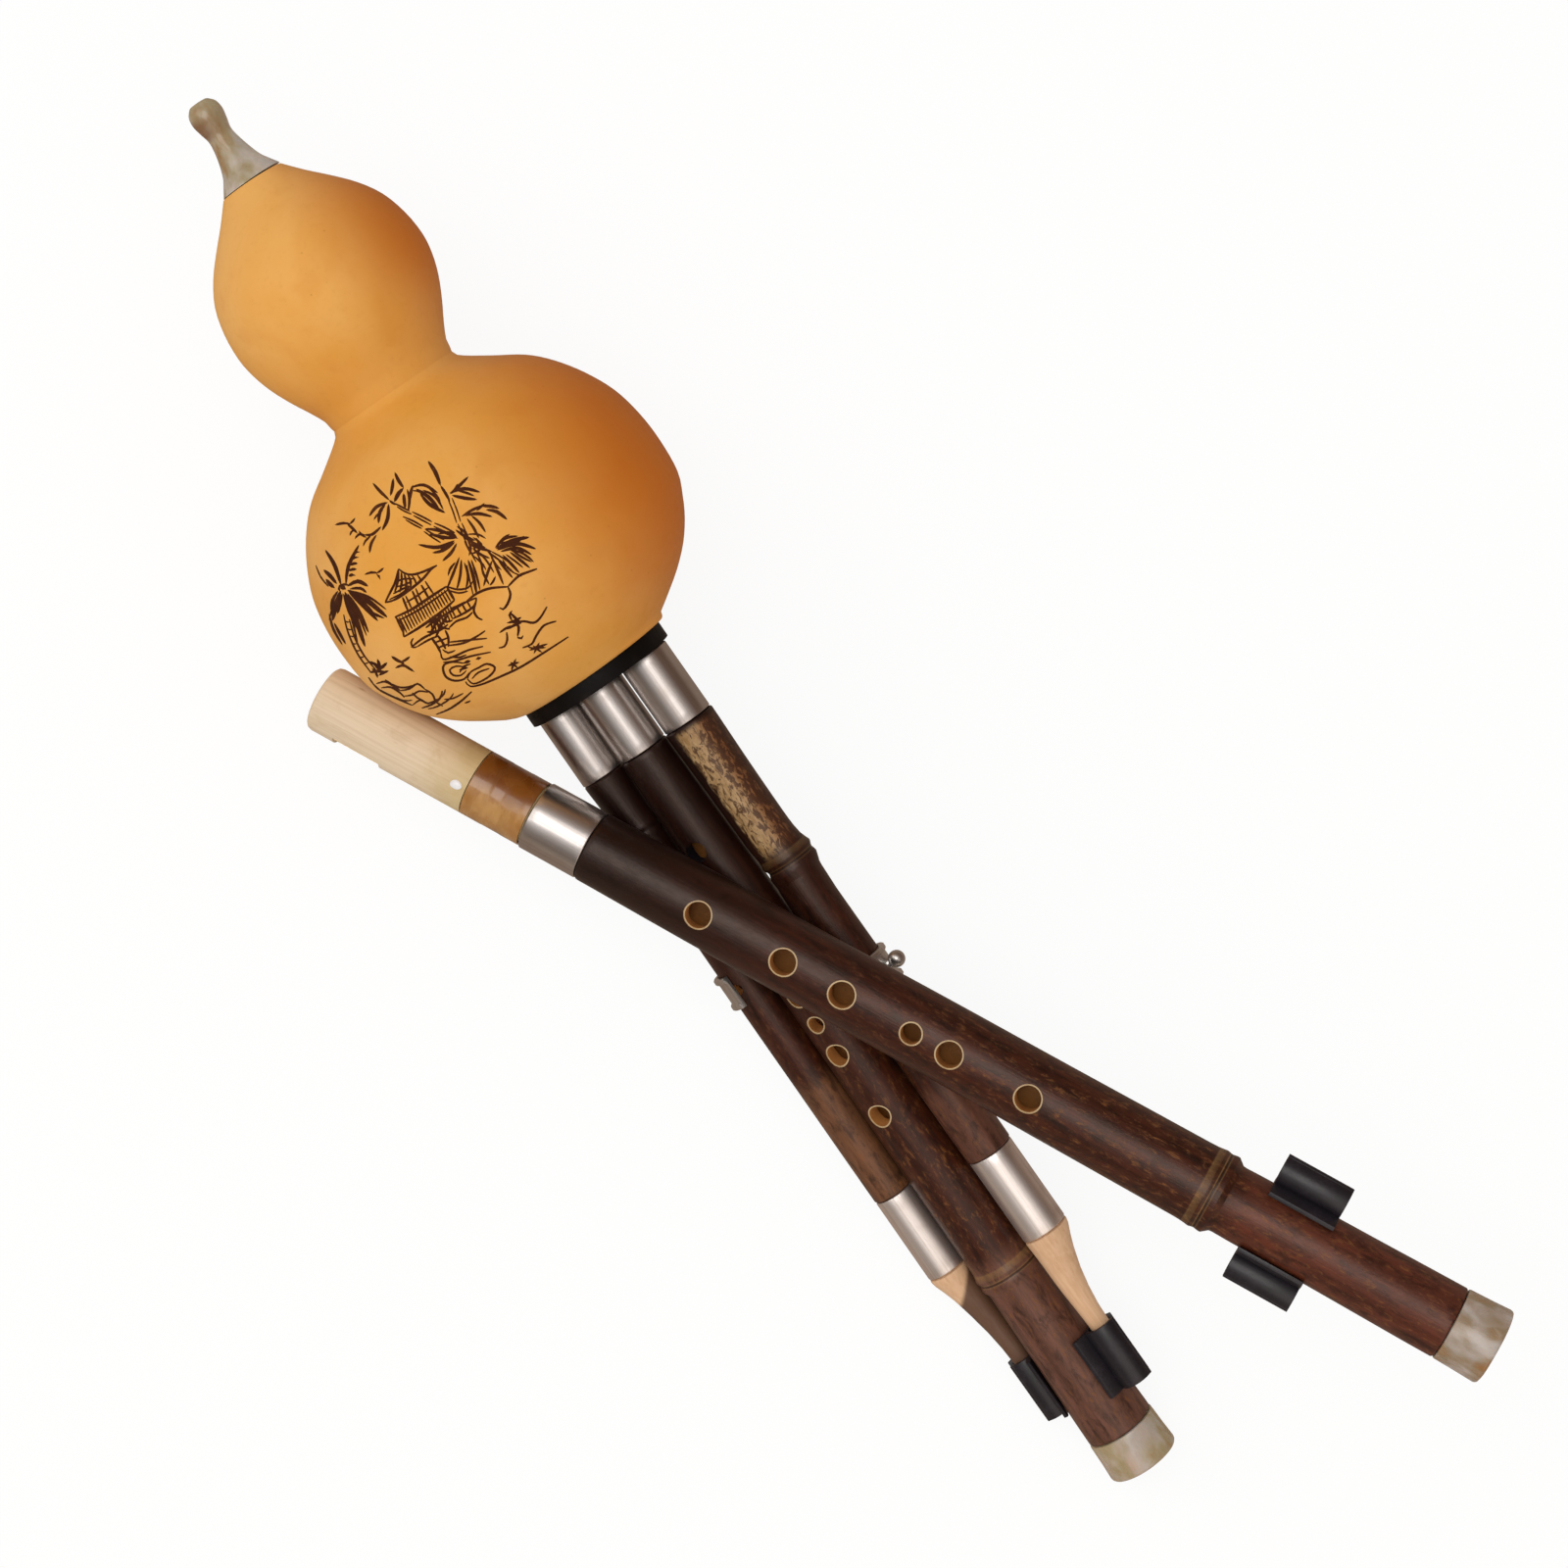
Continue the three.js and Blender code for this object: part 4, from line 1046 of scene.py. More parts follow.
@dataclass
class BurntDrawing:
    """The burnt ornament on the gourd: bamboo, a stilt house, a palm, rocks, water and birds.

    Its strokes were listed one after another on an enlarged crop of the photograph.
    Each row is a stroke's half width in millimetres and then its points, x and y in turn, in
    points of that crop with y downwards. on_sheet turns a row into millimetres on a flat
    sheet over the gourd's front left side. A hatching is a number of strokes and the two
    edges that they run between.
    """

    centre: Triple = (0.1, -18.7, 98)
    right: Triple = (0.566, 0.824, 0)
    up: Triple = (-0.824, 0.566, 0)
    facing: Triple = (0.0944, 0.0451, 0.9945)
    crop_middle: Point = (560, 750)
    crop_scale: float = 0.0705
    height_over: float = 0.1
    swell: float = 1.15
    swell_power: float = 0.6
    flatten: float = 0.25
    step: float = 1.0
    leaf_end_share: float = 0.12
    line_end_share: float = 0.5
    heavy_from: float = 0.55
    heavy_share: float = 0.62
    frond_from: float = 0.9
    frond_width: float = 0.3
    frond_short_share: float = 0.12
    frond_spread: float = 1.6
    frond_sides: Tuple[Point, ...] = ((10, -9), (-11, 8))
    leaves: Tuple[Row, ...] = (
        # Stalk A top, B top
        (0.5, 560, 322, 585, 362, 606, 412), (0.36, 606, 412, 622, 440, 640, 470),
        (0.38, 357, 400, 385, 432, 418, 464), (0.3, 418, 464, 430, 474, 446, 482),
        # Top left leaves
        (0.42, 438, 362, 452, 392, 470, 420), (0.4, 432, 384, 430, 415, 422, 448),
        (0.5, 470, 420, 452, 440, 436, 470), (0.55, 484, 424, 492, 462, 488, 505),
        (0.42, 470, 440, 474, 470, 478, 496), (0.4, 505, 410, 496, 440, 492, 470),
        # Heavy leaves
        (0.6, 498, 418, 545, 410, 596, 440), (0.75, 516, 424, 560, 452, 600, 498),
        (0.55, 540, 428, 585, 452, 616, 500), (0.45, 530, 440, 565, 480, 622, 512),
        # Right top cluster
        (0.4, 640, 444, 668, 418, 706, 380), (0.42, 638, 440, 690, 424, 748, 436),
        (0.42, 646, 448, 690, 458, 738, 464), (0.34, 648, 436, 662, 420, 668, 406),
        (0.3, 660, 428, 700, 440, 728, 450),
        # Second right cluster
        (0.34, 680, 526, 722, 500, 772, 480), (0.4, 756, 488, 786, 488, 818, 496),
        (0.44, 770, 500, 808, 508, 846, 536), (0.4, 690, 522, 742, 514, 792, 526),
        (0.34, 716, 522, 744, 546, 768, 582), (0.34, 700, 532, 724, 566, 744, 604),
        (0.3, 735, 505, 752, 490, 764, 476),
        # Left cluster
        (0.42, 412, 472, 372, 488, 344, 522), (0.42, 404, 478, 384, 506, 378, 548),
        (0.45, 416, 478, 412, 530, 392, 574), (0.36, 388, 560, 356, 588, 326, 590),
        (0.3, 330, 590, 304, 588, 290, 606), (0.36, 372, 590, 352, 622, 346, 656),
        (0.28, 352, 592, 330, 612, 322, 632), (0.26, 396, 500, 372, 520, 362, 536),
        (0.28, 306, 574, 316, 590, 334, 600),
        # Mid left cluster
        (0.4, 668, 606, 610, 578, 552, 568), (0.42, 660, 604, 612, 600, 566, 588),
        (0.44, 656, 612, 594, 636, 524, 626), (0.4, 656, 618, 614, 648, 576, 656),
        (0.4, 664, 622, 644, 656, 612, 686), (0.32, 664, 600, 640, 582, 596, 588),
        (0.3, 640, 640, 610, 640, 590, 632),
        # Right cluster
        (0.6, 802, 640, 836, 606, 886, 596), (0.5, 806, 642, 866, 612, 928, 600),
        (0.46, 810, 646, 882, 624, 952, 642), (0.4, 822, 652, 884, 640, 936, 664),
        (0.4, 812, 630, 834, 606, 856, 588), (0.36, 862, 644, 884, 618, 908, 596),
        (0.3, 864, 648, 900, 672, 938, 690), (0.34, 846, 640, 880, 652, 916, 650),
        (0.36, 820, 622, 850, 618, 870, 604),
        # Dense middle
        (0.36, 660, 572, 690, 596, 730, 612), (0.36, 690, 600, 726, 622, 770, 640),
        (0.36, 704, 622, 744, 640, 792, 652), (0.3, 736, 602, 744, 632, 742, 668),
        (0.34, 720, 640, 752, 664, 784, 676), (0.3, 700, 600, 714, 640, 708, 668),
        (0.3, 664, 560, 690, 580, 704, 604), (0.3, 760, 632, 740, 650, 716, 660),
        (0.3, 770, 640, 786, 660, 812, 676),
        # Fan of stalks
        (0.34, 674, 672, 650, 736, 628, 788), (0.34, 680, 680, 676, 740, 664, 792),
        (0.3, 690, 690, 704, 740, 696, 796), (0.42, 704, 682, 724, 744, 736, 806),
        (0.3, 716, 680, 736, 740, 748, 792), (0.34, 792, 684, 776, 730, 762, 778),
        (0.34, 796, 684, 816, 728, 834, 772), (0.36, 810, 674, 838, 712, 868, 748),
        (0.36, 830, 664, 862, 698, 892, 730), (0.36, 856, 654, 894, 682, 930, 712),
        (0.3, 752, 690, 760, 730, 782, 772), (0.3, 660, 690, 640, 716, 632, 742),
        (0.28, 806, 740, 796, 762, 784, 776), (0.28, 740, 664, 752, 690, 760, 720),
        (0.3, 876, 648, 912, 664, 944, 690),
        # Palm
        (0.8, 238, 772, 214, 700, 178, 644), (0.5, 222, 770, 196, 738, 172, 718),
        (0.5, 214, 786, 196, 770, 180, 752), (0.45, 256, 772, 266, 704, 306, 626),
        (0.8, 262, 778, 300, 760, 340, 778), (0.6, 270, 788, 310, 786, 334, 802),
        (1, 262, 792, 330, 826, 410, 892), (0.8, 268, 800, 320, 850, 376, 906),
        (0.6, 300, 830, 340, 868, 400, 896), (1, 252, 800, 286, 880, 326, 1002),
        (0.7, 262, 806, 304, 870, 340, 950), (0.7, 246, 806, 268, 870, 300, 940),
        (1, 236, 796, 218, 846, 202, 908), (0.7, 226, 796, 206, 830, 198, 872),
        (0.6, 242, 804, 232, 850, 224, 880), (0.9, 230, 776, 240, 780, 256, 790),
        (0.4, 266, 742, 280, 736, 294, 738), (0.36, 266, 722, 282, 716, 298, 716),
        (0.36, 270, 702, 286, 694, 302, 694), (0.32, 278, 682, 292, 672, 306, 672),
        (0.3, 286, 662, 298, 652, 310, 652), (0.6, 190, 880, 206, 940, 240, 1000),
        (0.4, 208, 914, 226, 950, 252, 996),
        # Palm foot tuft
        (0.4, 338, 1058, 362, 1068, 384, 1086), (0.42, 372, 1048, 378, 1070, 376, 1098),
        (0.42, 408, 1060, 392, 1076, 372, 1092), (0.4, 342, 1102, 370, 1094, 402, 1098),
        (0.36, 350, 1084, 366, 1100, 372, 1122), (0.36, 414, 1092, 394, 1100, 374, 1112),
        (0.3, 356, 1064, 372, 1082, 392, 1100),
        # Grass tufts
        (0.3, 866, 866, 856, 884, 868, 906), (0.36, 846, 912, 872, 906, 900, 890),
        (0.36, 848, 936, 872, 922, 904, 908), (0.34, 858, 874, 876, 892, 900, 914),
        (0.34, 872, 900, 890, 928, 886, 966), (0.3, 820, 948, 846, 930, 870, 920),
        (0.34, 852, 1072, 874, 1064, 896, 1058), (0.3, 866, 1090, 874, 1066, 884, 1044),
        (0.28, 862, 1056, 876, 1068, 892, 1080), (0.34, 932, 1014, 960, 1004, 992, 1004),
        (0.3, 948, 1026, 958, 1004, 968, 984), (0.28, 950, 1000, 972, 998, 1000, 990),
        (0.28, 944, 996, 962, 1010, 980, 1022), (0.4, 688, 1062, 700, 1056, 716, 1052),
        (0.4, 734, 1046, 744, 1042, 756, 1040), (0.3, 674, 1088, 690, 1080, 708, 1078),
        # Birds
        (0.34, 216, 552, 248, 546, 274, 548), (0.36, 262, 550, 276, 560, 300, 584),
        (0.28, 270, 550, 282, 540, 292, 528), (0.26, 272, 592, 278, 578, 290, 570),
        (0.32, 326, 736, 352, 728, 378, 730), (0.3, 370, 732, 380, 742, 386, 754),
        (0.28, 372, 730, 386, 722, 398, 710), (0.4, 424, 1036, 450, 1054, 472, 1062),
        (0.34, 456, 1060, 478, 1050, 494, 1036), (0.36, 438, 1082, 462, 1070, 484, 1076),
        (0.34, 462, 1062, 488, 1080, 510, 1094))
    shading: Tuple[Row, ...] = (
        (0.26, 500, 430, 536, 436, 580, 470), (0.26, 560, 420, 590, 446, 606, 474),
        (0.26, 700, 590, 740, 590, 770, 606), (0.28, 722, 600, 752, 624, 760, 650),
        (0.28, 690, 612, 712, 650, 730, 676), (0.26, 780, 644, 800, 690, 826, 720),
        (0.26, 746, 656, 776, 690, 800, 730), (0.26, 726, 668, 760, 700, 770, 720),
        (0.26, 840, 660, 880, 690, 906, 712))
    lines: Tuple[Row, ...] = (
        # Stalk A double, stalk B double, stalk C
        (0.2, 632, 462, 650, 504, 664, 548), (0.2, 646, 458, 664, 500, 678, 544),
        (0.2, 668, 552, 690, 602, 702, 628), (0.2, 682, 548, 704, 598, 718, 622),
        (0.2, 706, 634, 722, 668, 734, 690), (0.2, 720, 626, 744, 672, 752, 700),
        (0.24, 440, 476, 466, 490, 494, 504), (0.22, 446, 488, 474, 504, 500, 516),
        (0.24, 502, 508, 540, 526, 574, 544), (0.22, 506, 520, 540, 538, 572, 556),
        (0.24, 582, 548, 620, 564, 656, 584), (0.22, 580, 560, 618, 578, 654, 596),
        (0.24, 468, 524, 504, 540, 542, 562), (0.22, 478, 536, 512, 556, 538, 568),
        (0.24, 548, 570, 584, 592, 618, 610), (0.22, 544, 578, 578, 602, 606, 620),
        (0.22, 790, 652, 840, 680, 880, 712), (0.22, 786, 662, 830, 692, 870, 728),
        (0.2, 700, 700, 712, 760, 724, 812), (0.2, 830, 680, 858, 720, 900, 742),
        # Pavilion roof
        (0.3, 402, 838, 424, 796, 440, 764, 452, 714),
        (0.3, 452, 714, 474, 730, 500, 736, 540, 726, 592, 702),
        (0.34, 402, 838, 440, 826, 490, 792, 540, 752, 572, 716, 592, 702),
        (0.22, 418, 826, 460, 806, 500, 772), (0.3, 452, 722, 450, 760, 438, 800),
        (0.3, 462, 728, 464, 764, 456, 800), (0.3, 474, 734, 480, 764, 476, 794),
        (0.3, 488, 738, 496, 760, 496, 782), (0.26, 502, 740, 512, 756, 516, 770),
        (0.24, 520, 736, 528, 746, 534, 758), (0.26, 444, 780, 470, 774, 500, 760),
        (0.26, 432, 806, 464, 790, 490, 776), (0.24, 440, 764, 470, 752, 510, 752),
        # Pavilion columns
        (0.3, 466, 818, 478, 846, 488, 870), (0.24, 478, 812, 490, 840, 502, 864),
        (0.3, 502, 794, 514, 822, 528, 852), (0.24, 514, 786, 528, 816, 542, 844),
        (0.3, 534, 772, 550, 800, 564, 826), (0.24, 548, 758, 566, 786, 584, 812),
        (0.26, 480, 836, 520, 812, 560, 782),
        # Railing
        (0.36, 438, 892, 500, 862, 560, 822, 626, 778),
        (0.36, 470, 964, 530, 928, 600, 878, 656, 828), (0.3, 440, 892, 464, 918, 470, 964),
        (0.26, 450, 904, 510, 874, 574, 832, 634, 790), (0.3, 626, 778, 640, 800, 656, 828),
        (0.26, 626, 778, 668, 790, 706, 782, 722, 760), (0.24, 634, 792, 672, 802, 704, 796),
        # Landing and stilts
        (0.3, 498, 1002, 546, 966, 612, 934), (0.26, 506, 968, 498, 984, 504, 1002, 520, 1000),
        (0.26, 520, 1000, 560, 976, 600, 958), (0.3, 560, 912, 620, 884, 690, 840, 736, 820),
        (0.3, 736, 820, 728, 850, 690, 876, 650, 896), (0.26, 664, 852, 672, 868, 680, 880),
        (0.26, 684, 842, 692, 858, 700, 870), (0.24, 702, 834, 710, 848, 716, 860),
        (0.34, 566, 962, 584, 920, 612, 884), (0.34, 588, 966, 604, 926, 630, 886),
        (0.3, 552, 930, 590, 900, 640, 872), (0.3, 580, 900, 610, 928, 640, 934),
        (0.3, 600, 880, 624, 908, 650, 902), (0.3, 556, 946, 600, 940, 632, 918),
        (0.34, 572, 966, 596, 1000, 606, 1022), (0.34, 596, 958, 614, 986, 624, 1008),
        (0.3, 622, 938, 634, 966, 634, 1000), (0.26, 584, 984, 610, 976, 634, 966),
        (0.26, 596, 1006, 616, 996, 636, 990), (0.28, 640, 860, 668, 850, 700, 832),
        # Rocks
        (0.32, 700, 832, 738, 804, 786, 786, 850, 780),
        (0.32, 850, 780, 860, 808, 848, 844, 832, 862, 820, 856),
        (0.32, 850, 780, 888, 742, 920, 728, 956, 714),
        (0.3, 734, 838, 726, 866, 740, 892, 758, 900),
        # Water
        (0.28, 634, 996, 690, 986, 738, 962, 768, 940),
        (0.28, 636, 930, 662, 906, 700, 892, 722, 872), (0.26, 636, 982, 700, 976, 776, 968),
        (0.28, 606, 1016, 616, 1046, 660, 1034, 706, 1012, 762, 998),
        (0.26, 616, 1058, 660, 1052, 720, 1034, 790, 1020),
        (0.3, 690, 1060, 650, 1056, 620, 1066, 616, 1088, 628, 1114, 660, 1128, 694, 1120, 712, 1096),
        (0.26, 700, 1076, 664, 1072, 640, 1086, 652, 1106, 682, 1106, 700, 1088),
        (0.26, 676, 1096, 690, 1074, 716, 1064),
        (0.28, 704, 1120, 716, 1094, 746, 1078, 776, 1064, 806, 1076, 796, 1100, 764, 1124, 728,
         1138, 704, 1120),
        (0.24, 722, 1120, 744, 1096, 786, 1080),
        (0.3, 698, 1130, 716, 1148, 760, 1140, 830, 1110, 900, 1076, 980, 1026, 1076, 964),
        (0.24, 640, 1036, 672, 1040, 700, 1030), (0.26, 612, 1010, 634, 1022, 660, 1012),
        # Grasses and shore
        (0.3, 866, 912, 910, 906, 944, 912, 968, 894, 994, 852),
        (0.28, 818, 1004, 840, 998, 850, 974, 846, 946), (0.28, 886, 966, 902, 968, 908, 958),
        (0.3, 906, 1004, 940, 990, 956, 960, 984, 922, 1030, 906),
        (0.22, 926, 1000, 944, 1006, 966, 994),
        # Palm trunk
        (0.26, 246, 884, 262, 950, 296, 1030, 346, 1100),
        (0.26, 268, 900, 288, 970, 322, 1036, 366, 1090), (0.2, 250, 906, 260, 912, 272, 912),
        (0.2, 256, 934, 268, 940, 280, 938), (0.2, 266, 962, 278, 966, 290, 964),
        (0.2, 276, 990, 288, 994, 300, 990), (0.2, 288, 1016, 300, 1020, 312, 1014),
        (0.2, 302, 1042, 314, 1044, 326, 1038), (0.2, 318, 1066, 330, 1066, 342, 1060),
        (0.22, 140, 700, 160, 744, 190, 780),
        # Ground at the palm's foot
        (0.3, 336, 1120, 372, 1164, 430, 1196, 500, 1226),
        (0.28, 366, 1144, 398, 1134, 430, 1150, 456, 1168),
        (0.28, 400, 1128, 440, 1152, 474, 1156, 506, 1146),
        (0.28, 384, 1160, 420, 1156, 456, 1178, 470, 1196),
        (0.28, 456, 1168, 490, 1160, 520, 1140, 548, 1162),
        (0.26, 470, 1190, 500, 1184, 528, 1168, 560, 1172),
        (0.28, 500, 1226, 530, 1204, 560, 1216, 596, 1198),
        (0.28, 548, 1162, 576, 1180, 590, 1210, 616, 1226),
        (0.3, 536, 1236, 572, 1222, 604, 1196, 612, 1166),
        (0.26, 560, 1240, 596, 1228, 640, 1198, 654, 1176),
        (0.3, 590, 1262, 640, 1238, 684, 1206, 722, 1168), (0.24, 620, 1200, 652, 1196, 690, 1176),
        (0.26, 500, 1176, 520, 1196, 540, 1204), (0.24, 696, 1214, 712, 1208, 718, 1204),
        (0.24, 624, 1160, 618, 1180, 604, 1196), (0.24, 440, 1196, 466, 1208, 500, 1206))
    hatchings: Tuple[Tuple[int, Row], ...] = (
        (19, (0.22, 444, 898, 628, 786, 472, 956, 652, 826)),
        (9, (0.24, 566, 890, 640, 850, 580, 950, 660, 890)))

    def on_sheet(self, row: Row) -> Row:
        """Returns a row with its points in millimetres on the sheet, to the nearest tenth."""
        across, down = self.crop_middle
        result = [row[0]]
        for x, y in zip(row[1::2], row[2::2]):
            result.append(round((x - across) * self.crop_scale, 1))
            result.append(round((down - y) * self.crop_scale, 1))
        return tuple(result)

    def leaf_rows(self) -> List[Row]:
        """Returns the leaves on the sheet: heavy ones thinned, great fronds in three."""
        rows = [(round(wide * self.heavy_share, 2) if wide >= self.heavy_from else wide, *points)
                for wide, *points in self.leaves]
        for wide, *points in self.leaves:
            if wide >= self.frond_from:
                rows += [self.frond_edge(points, side) for side in self.frond_sides]
        return [self.on_sheet(row) for row in rows + list(self.shading)]

    def frond_edge(self, points: Sequence[float], side: Point) -> Row:
        """Returns a thin stroke beside a great frond, a little shorter than it."""
        x, y, middle_x, middle_y, tip_x, tip_y = points
        across, down = side
        return (self.frond_width, x, y, middle_x + across, middle_y + down,
                tip_x - (tip_x - x) * self.frond_short_share + across * self.frond_spread,
                tip_y - (tip_y - y) * self.frond_short_share + down * self.frond_spread)

    def build(self, gourd: bpy.types.Object) -> None:
        """Draws every stroke on the sheet, as one mesh, and lays it on the gourd.

        Args:
            gourd: The finished gourd, in its place.
        """
        sheet = bpy.data.curves.new("burnt_drawing", "CURVE")
        sheet.dimensions = "3D"
        sheet.bevel_depth = MM
        sheet.bevel_resolution = 1
        sheet.use_fill_caps = True
        for row in self.leaf_rows():
            self.stroke(sheet, row, self.leaf_end_share)
        for row in [self.on_sheet(row) for row in self.lines] + self.hatched():
            self.stroke(sheet, row, self.line_end_share)
        drawing = bpy.data.objects.new("burnt_drawing", sheet)
        bpy.context.collection.objects.link(drawing)
        pick(drawing)
        bpy.ops.object.convert(target="MESH")
        drawing = bpy.context.object
        right, up, facing = Vector(self.right), Vector(self.up), Vector(self.facing)
        for vertex in drawing.data.vertices:
            x, y, z = vertex.co
            start = Vector(self.centre) * MM + right * x + up * y + facing * self.height_over
            found, place, normal, _ = gourd.ray_cast(start, -facing)
            if not found:
                _, place, normal, _ = gourd.closest_point_on_mesh(start)
            vertex.co = place + normal * z * self.flatten
        finish(drawing, FINISHES["burn"], Placing((0, 0, 0), (1, 0, 0), (0, 1, 0)), 60,
               "instrument", "gourd")

    def stroke(self, sheet: bpy.types.Curve, row: Row, end_share: float) -> None:
        """Adds one stroke, which swells towards its middle.

        Args:
            sheet: The curve that holds all strokes.
            row: The stroke's half width and points.
            end_share: How much of the half width is left at its two ends.
        """
        points = smooth_outline(list(zip(row[1::2], row[2::2])), self.step)
        spline = sheet.splines.new("POLY")
        spline.points.add(len(points) - 1)
        for k, (point, (x, y)) in enumerate(zip(spline.points, points)):
            swell = abs(math.sin(math.pi * k / (len(points) - 1))) ** self.swell_power
            point.co = (x * MM, y * MM, 0, 1)
            point.radius = self.swell * row[0] * (end_share + (1 - end_share) * swell)

    def hatched(self) -> List[Row]:
        """Returns the strokes of the hatchings."""
        rows = []
        for count, row in self.hatchings:
            wide, *edges = self.on_sheet(row)
            a, b, c, d = (Vector(edges[k:k + 2]) for k in (0, 2, 4, 6))
            for k in range(count):
                share = k / (count - 1)
                rows.append((wide, *a.lerp(b, share), *c.lerp(d, share)))
        return rows


# The pipes


@dataclass
class Holder:
    """A black split tube on a pipe's flank, on a foot, with a level slot facing outwards."""

    length: float = 19.0
    outer_radius: float = 4.8
    inner_radius: float = 3.7
    slot_height: float = 5.4
    foot_thickness: float = 1.4
    sink: float = 0.4
    foot_span: float = 38.0
    lip_radius: float = 0.75

    def build(self, name: str, start: float, seat: float, roll: float,
              side: Side) -> bpy.types.Object:
        """Builds one holder in its pipe's frame.

        Args:
            name: The object's name.
            start: Where along the pipe it starts.
            seat: The radius that its foot sits on.
            roll: The pipe's roll in degrees, taken out of the slot.
            side: The pipe's flank.

        Returns:
            The holder, in the pipe's frame.
        """
        end = start + self.length
        reach = seat + self.outer_radius - self.sink
        turn = math.radians(roll)
        out = side.value
        holder = self.rod(name, start, end, self.outer_radius, out * reach, 0, 40)
        foot = self.rod("foot", start, end, seat + self.foot_thickness, 0, 0, 80)
        half = (seat + self.foot_thickness) * math.sin(math.radians(self.foot_span))
        inner = seat * math.cos(math.radians(self.foot_span))
        low, high = sorted((out * inner, out * (seat + 4)))
        combine(foot, block("keep", (start - 1, low, -half), (end + 1, high, half)), "INTERSECT")
        combine(holder, foot, "UNION")
        for sign in (-1, 1):
            angle = turn + sign * math.asin((self.slot_height / 2 + 0.1) / self.outer_radius)
            middle = (self.outer_radius + self.inner_radius) / 2
            holder_lip = self.rod("lip", start, end, self.lip_radius,
                                  out * (reach + middle * math.cos(angle)),
                                  -out * middle * math.sin(angle), 16)
            combine(holder, holder_lip, "UNION")
        combine(holder, self.rod("bore", start - 2, end + 2, self.inner_radius, out * reach, 0,
                                 40), "DIFFERENCE")
        slot = block("slot", (start - 2, 0, -self.slot_height / 2 + 0.5),
                     (end + 2, self.outer_radius + 2, self.slot_height / 2 - 0.5))
        slot.data.transform(Matrix.Translation((0, out * reach * MM, 0))
                            @ Matrix.Rotation(-turn if out > 0 else math.pi - turn, 4, "X"))
        combine(holder, slot, "DIFFERENCE")
        combine(holder, self.rod("pipe", start - 2, end + 2, seat, 0, 0, 96), "DIFFERENCE")
        bevel(holder, 0.22, 2, 50)
        return holder

    def rod(self, name: str, start: float, end: float, radius: float, y: float, z: float,
            sides: int) -> bpy.types.Object:
        """Returns a closed cylinder along X, given in millimetres."""
        return loft(name, [Ring(start, radius, y=y, z=z), Ring(end, radius, y=y, z=z)], sides,
                    Ends.CAPPED)


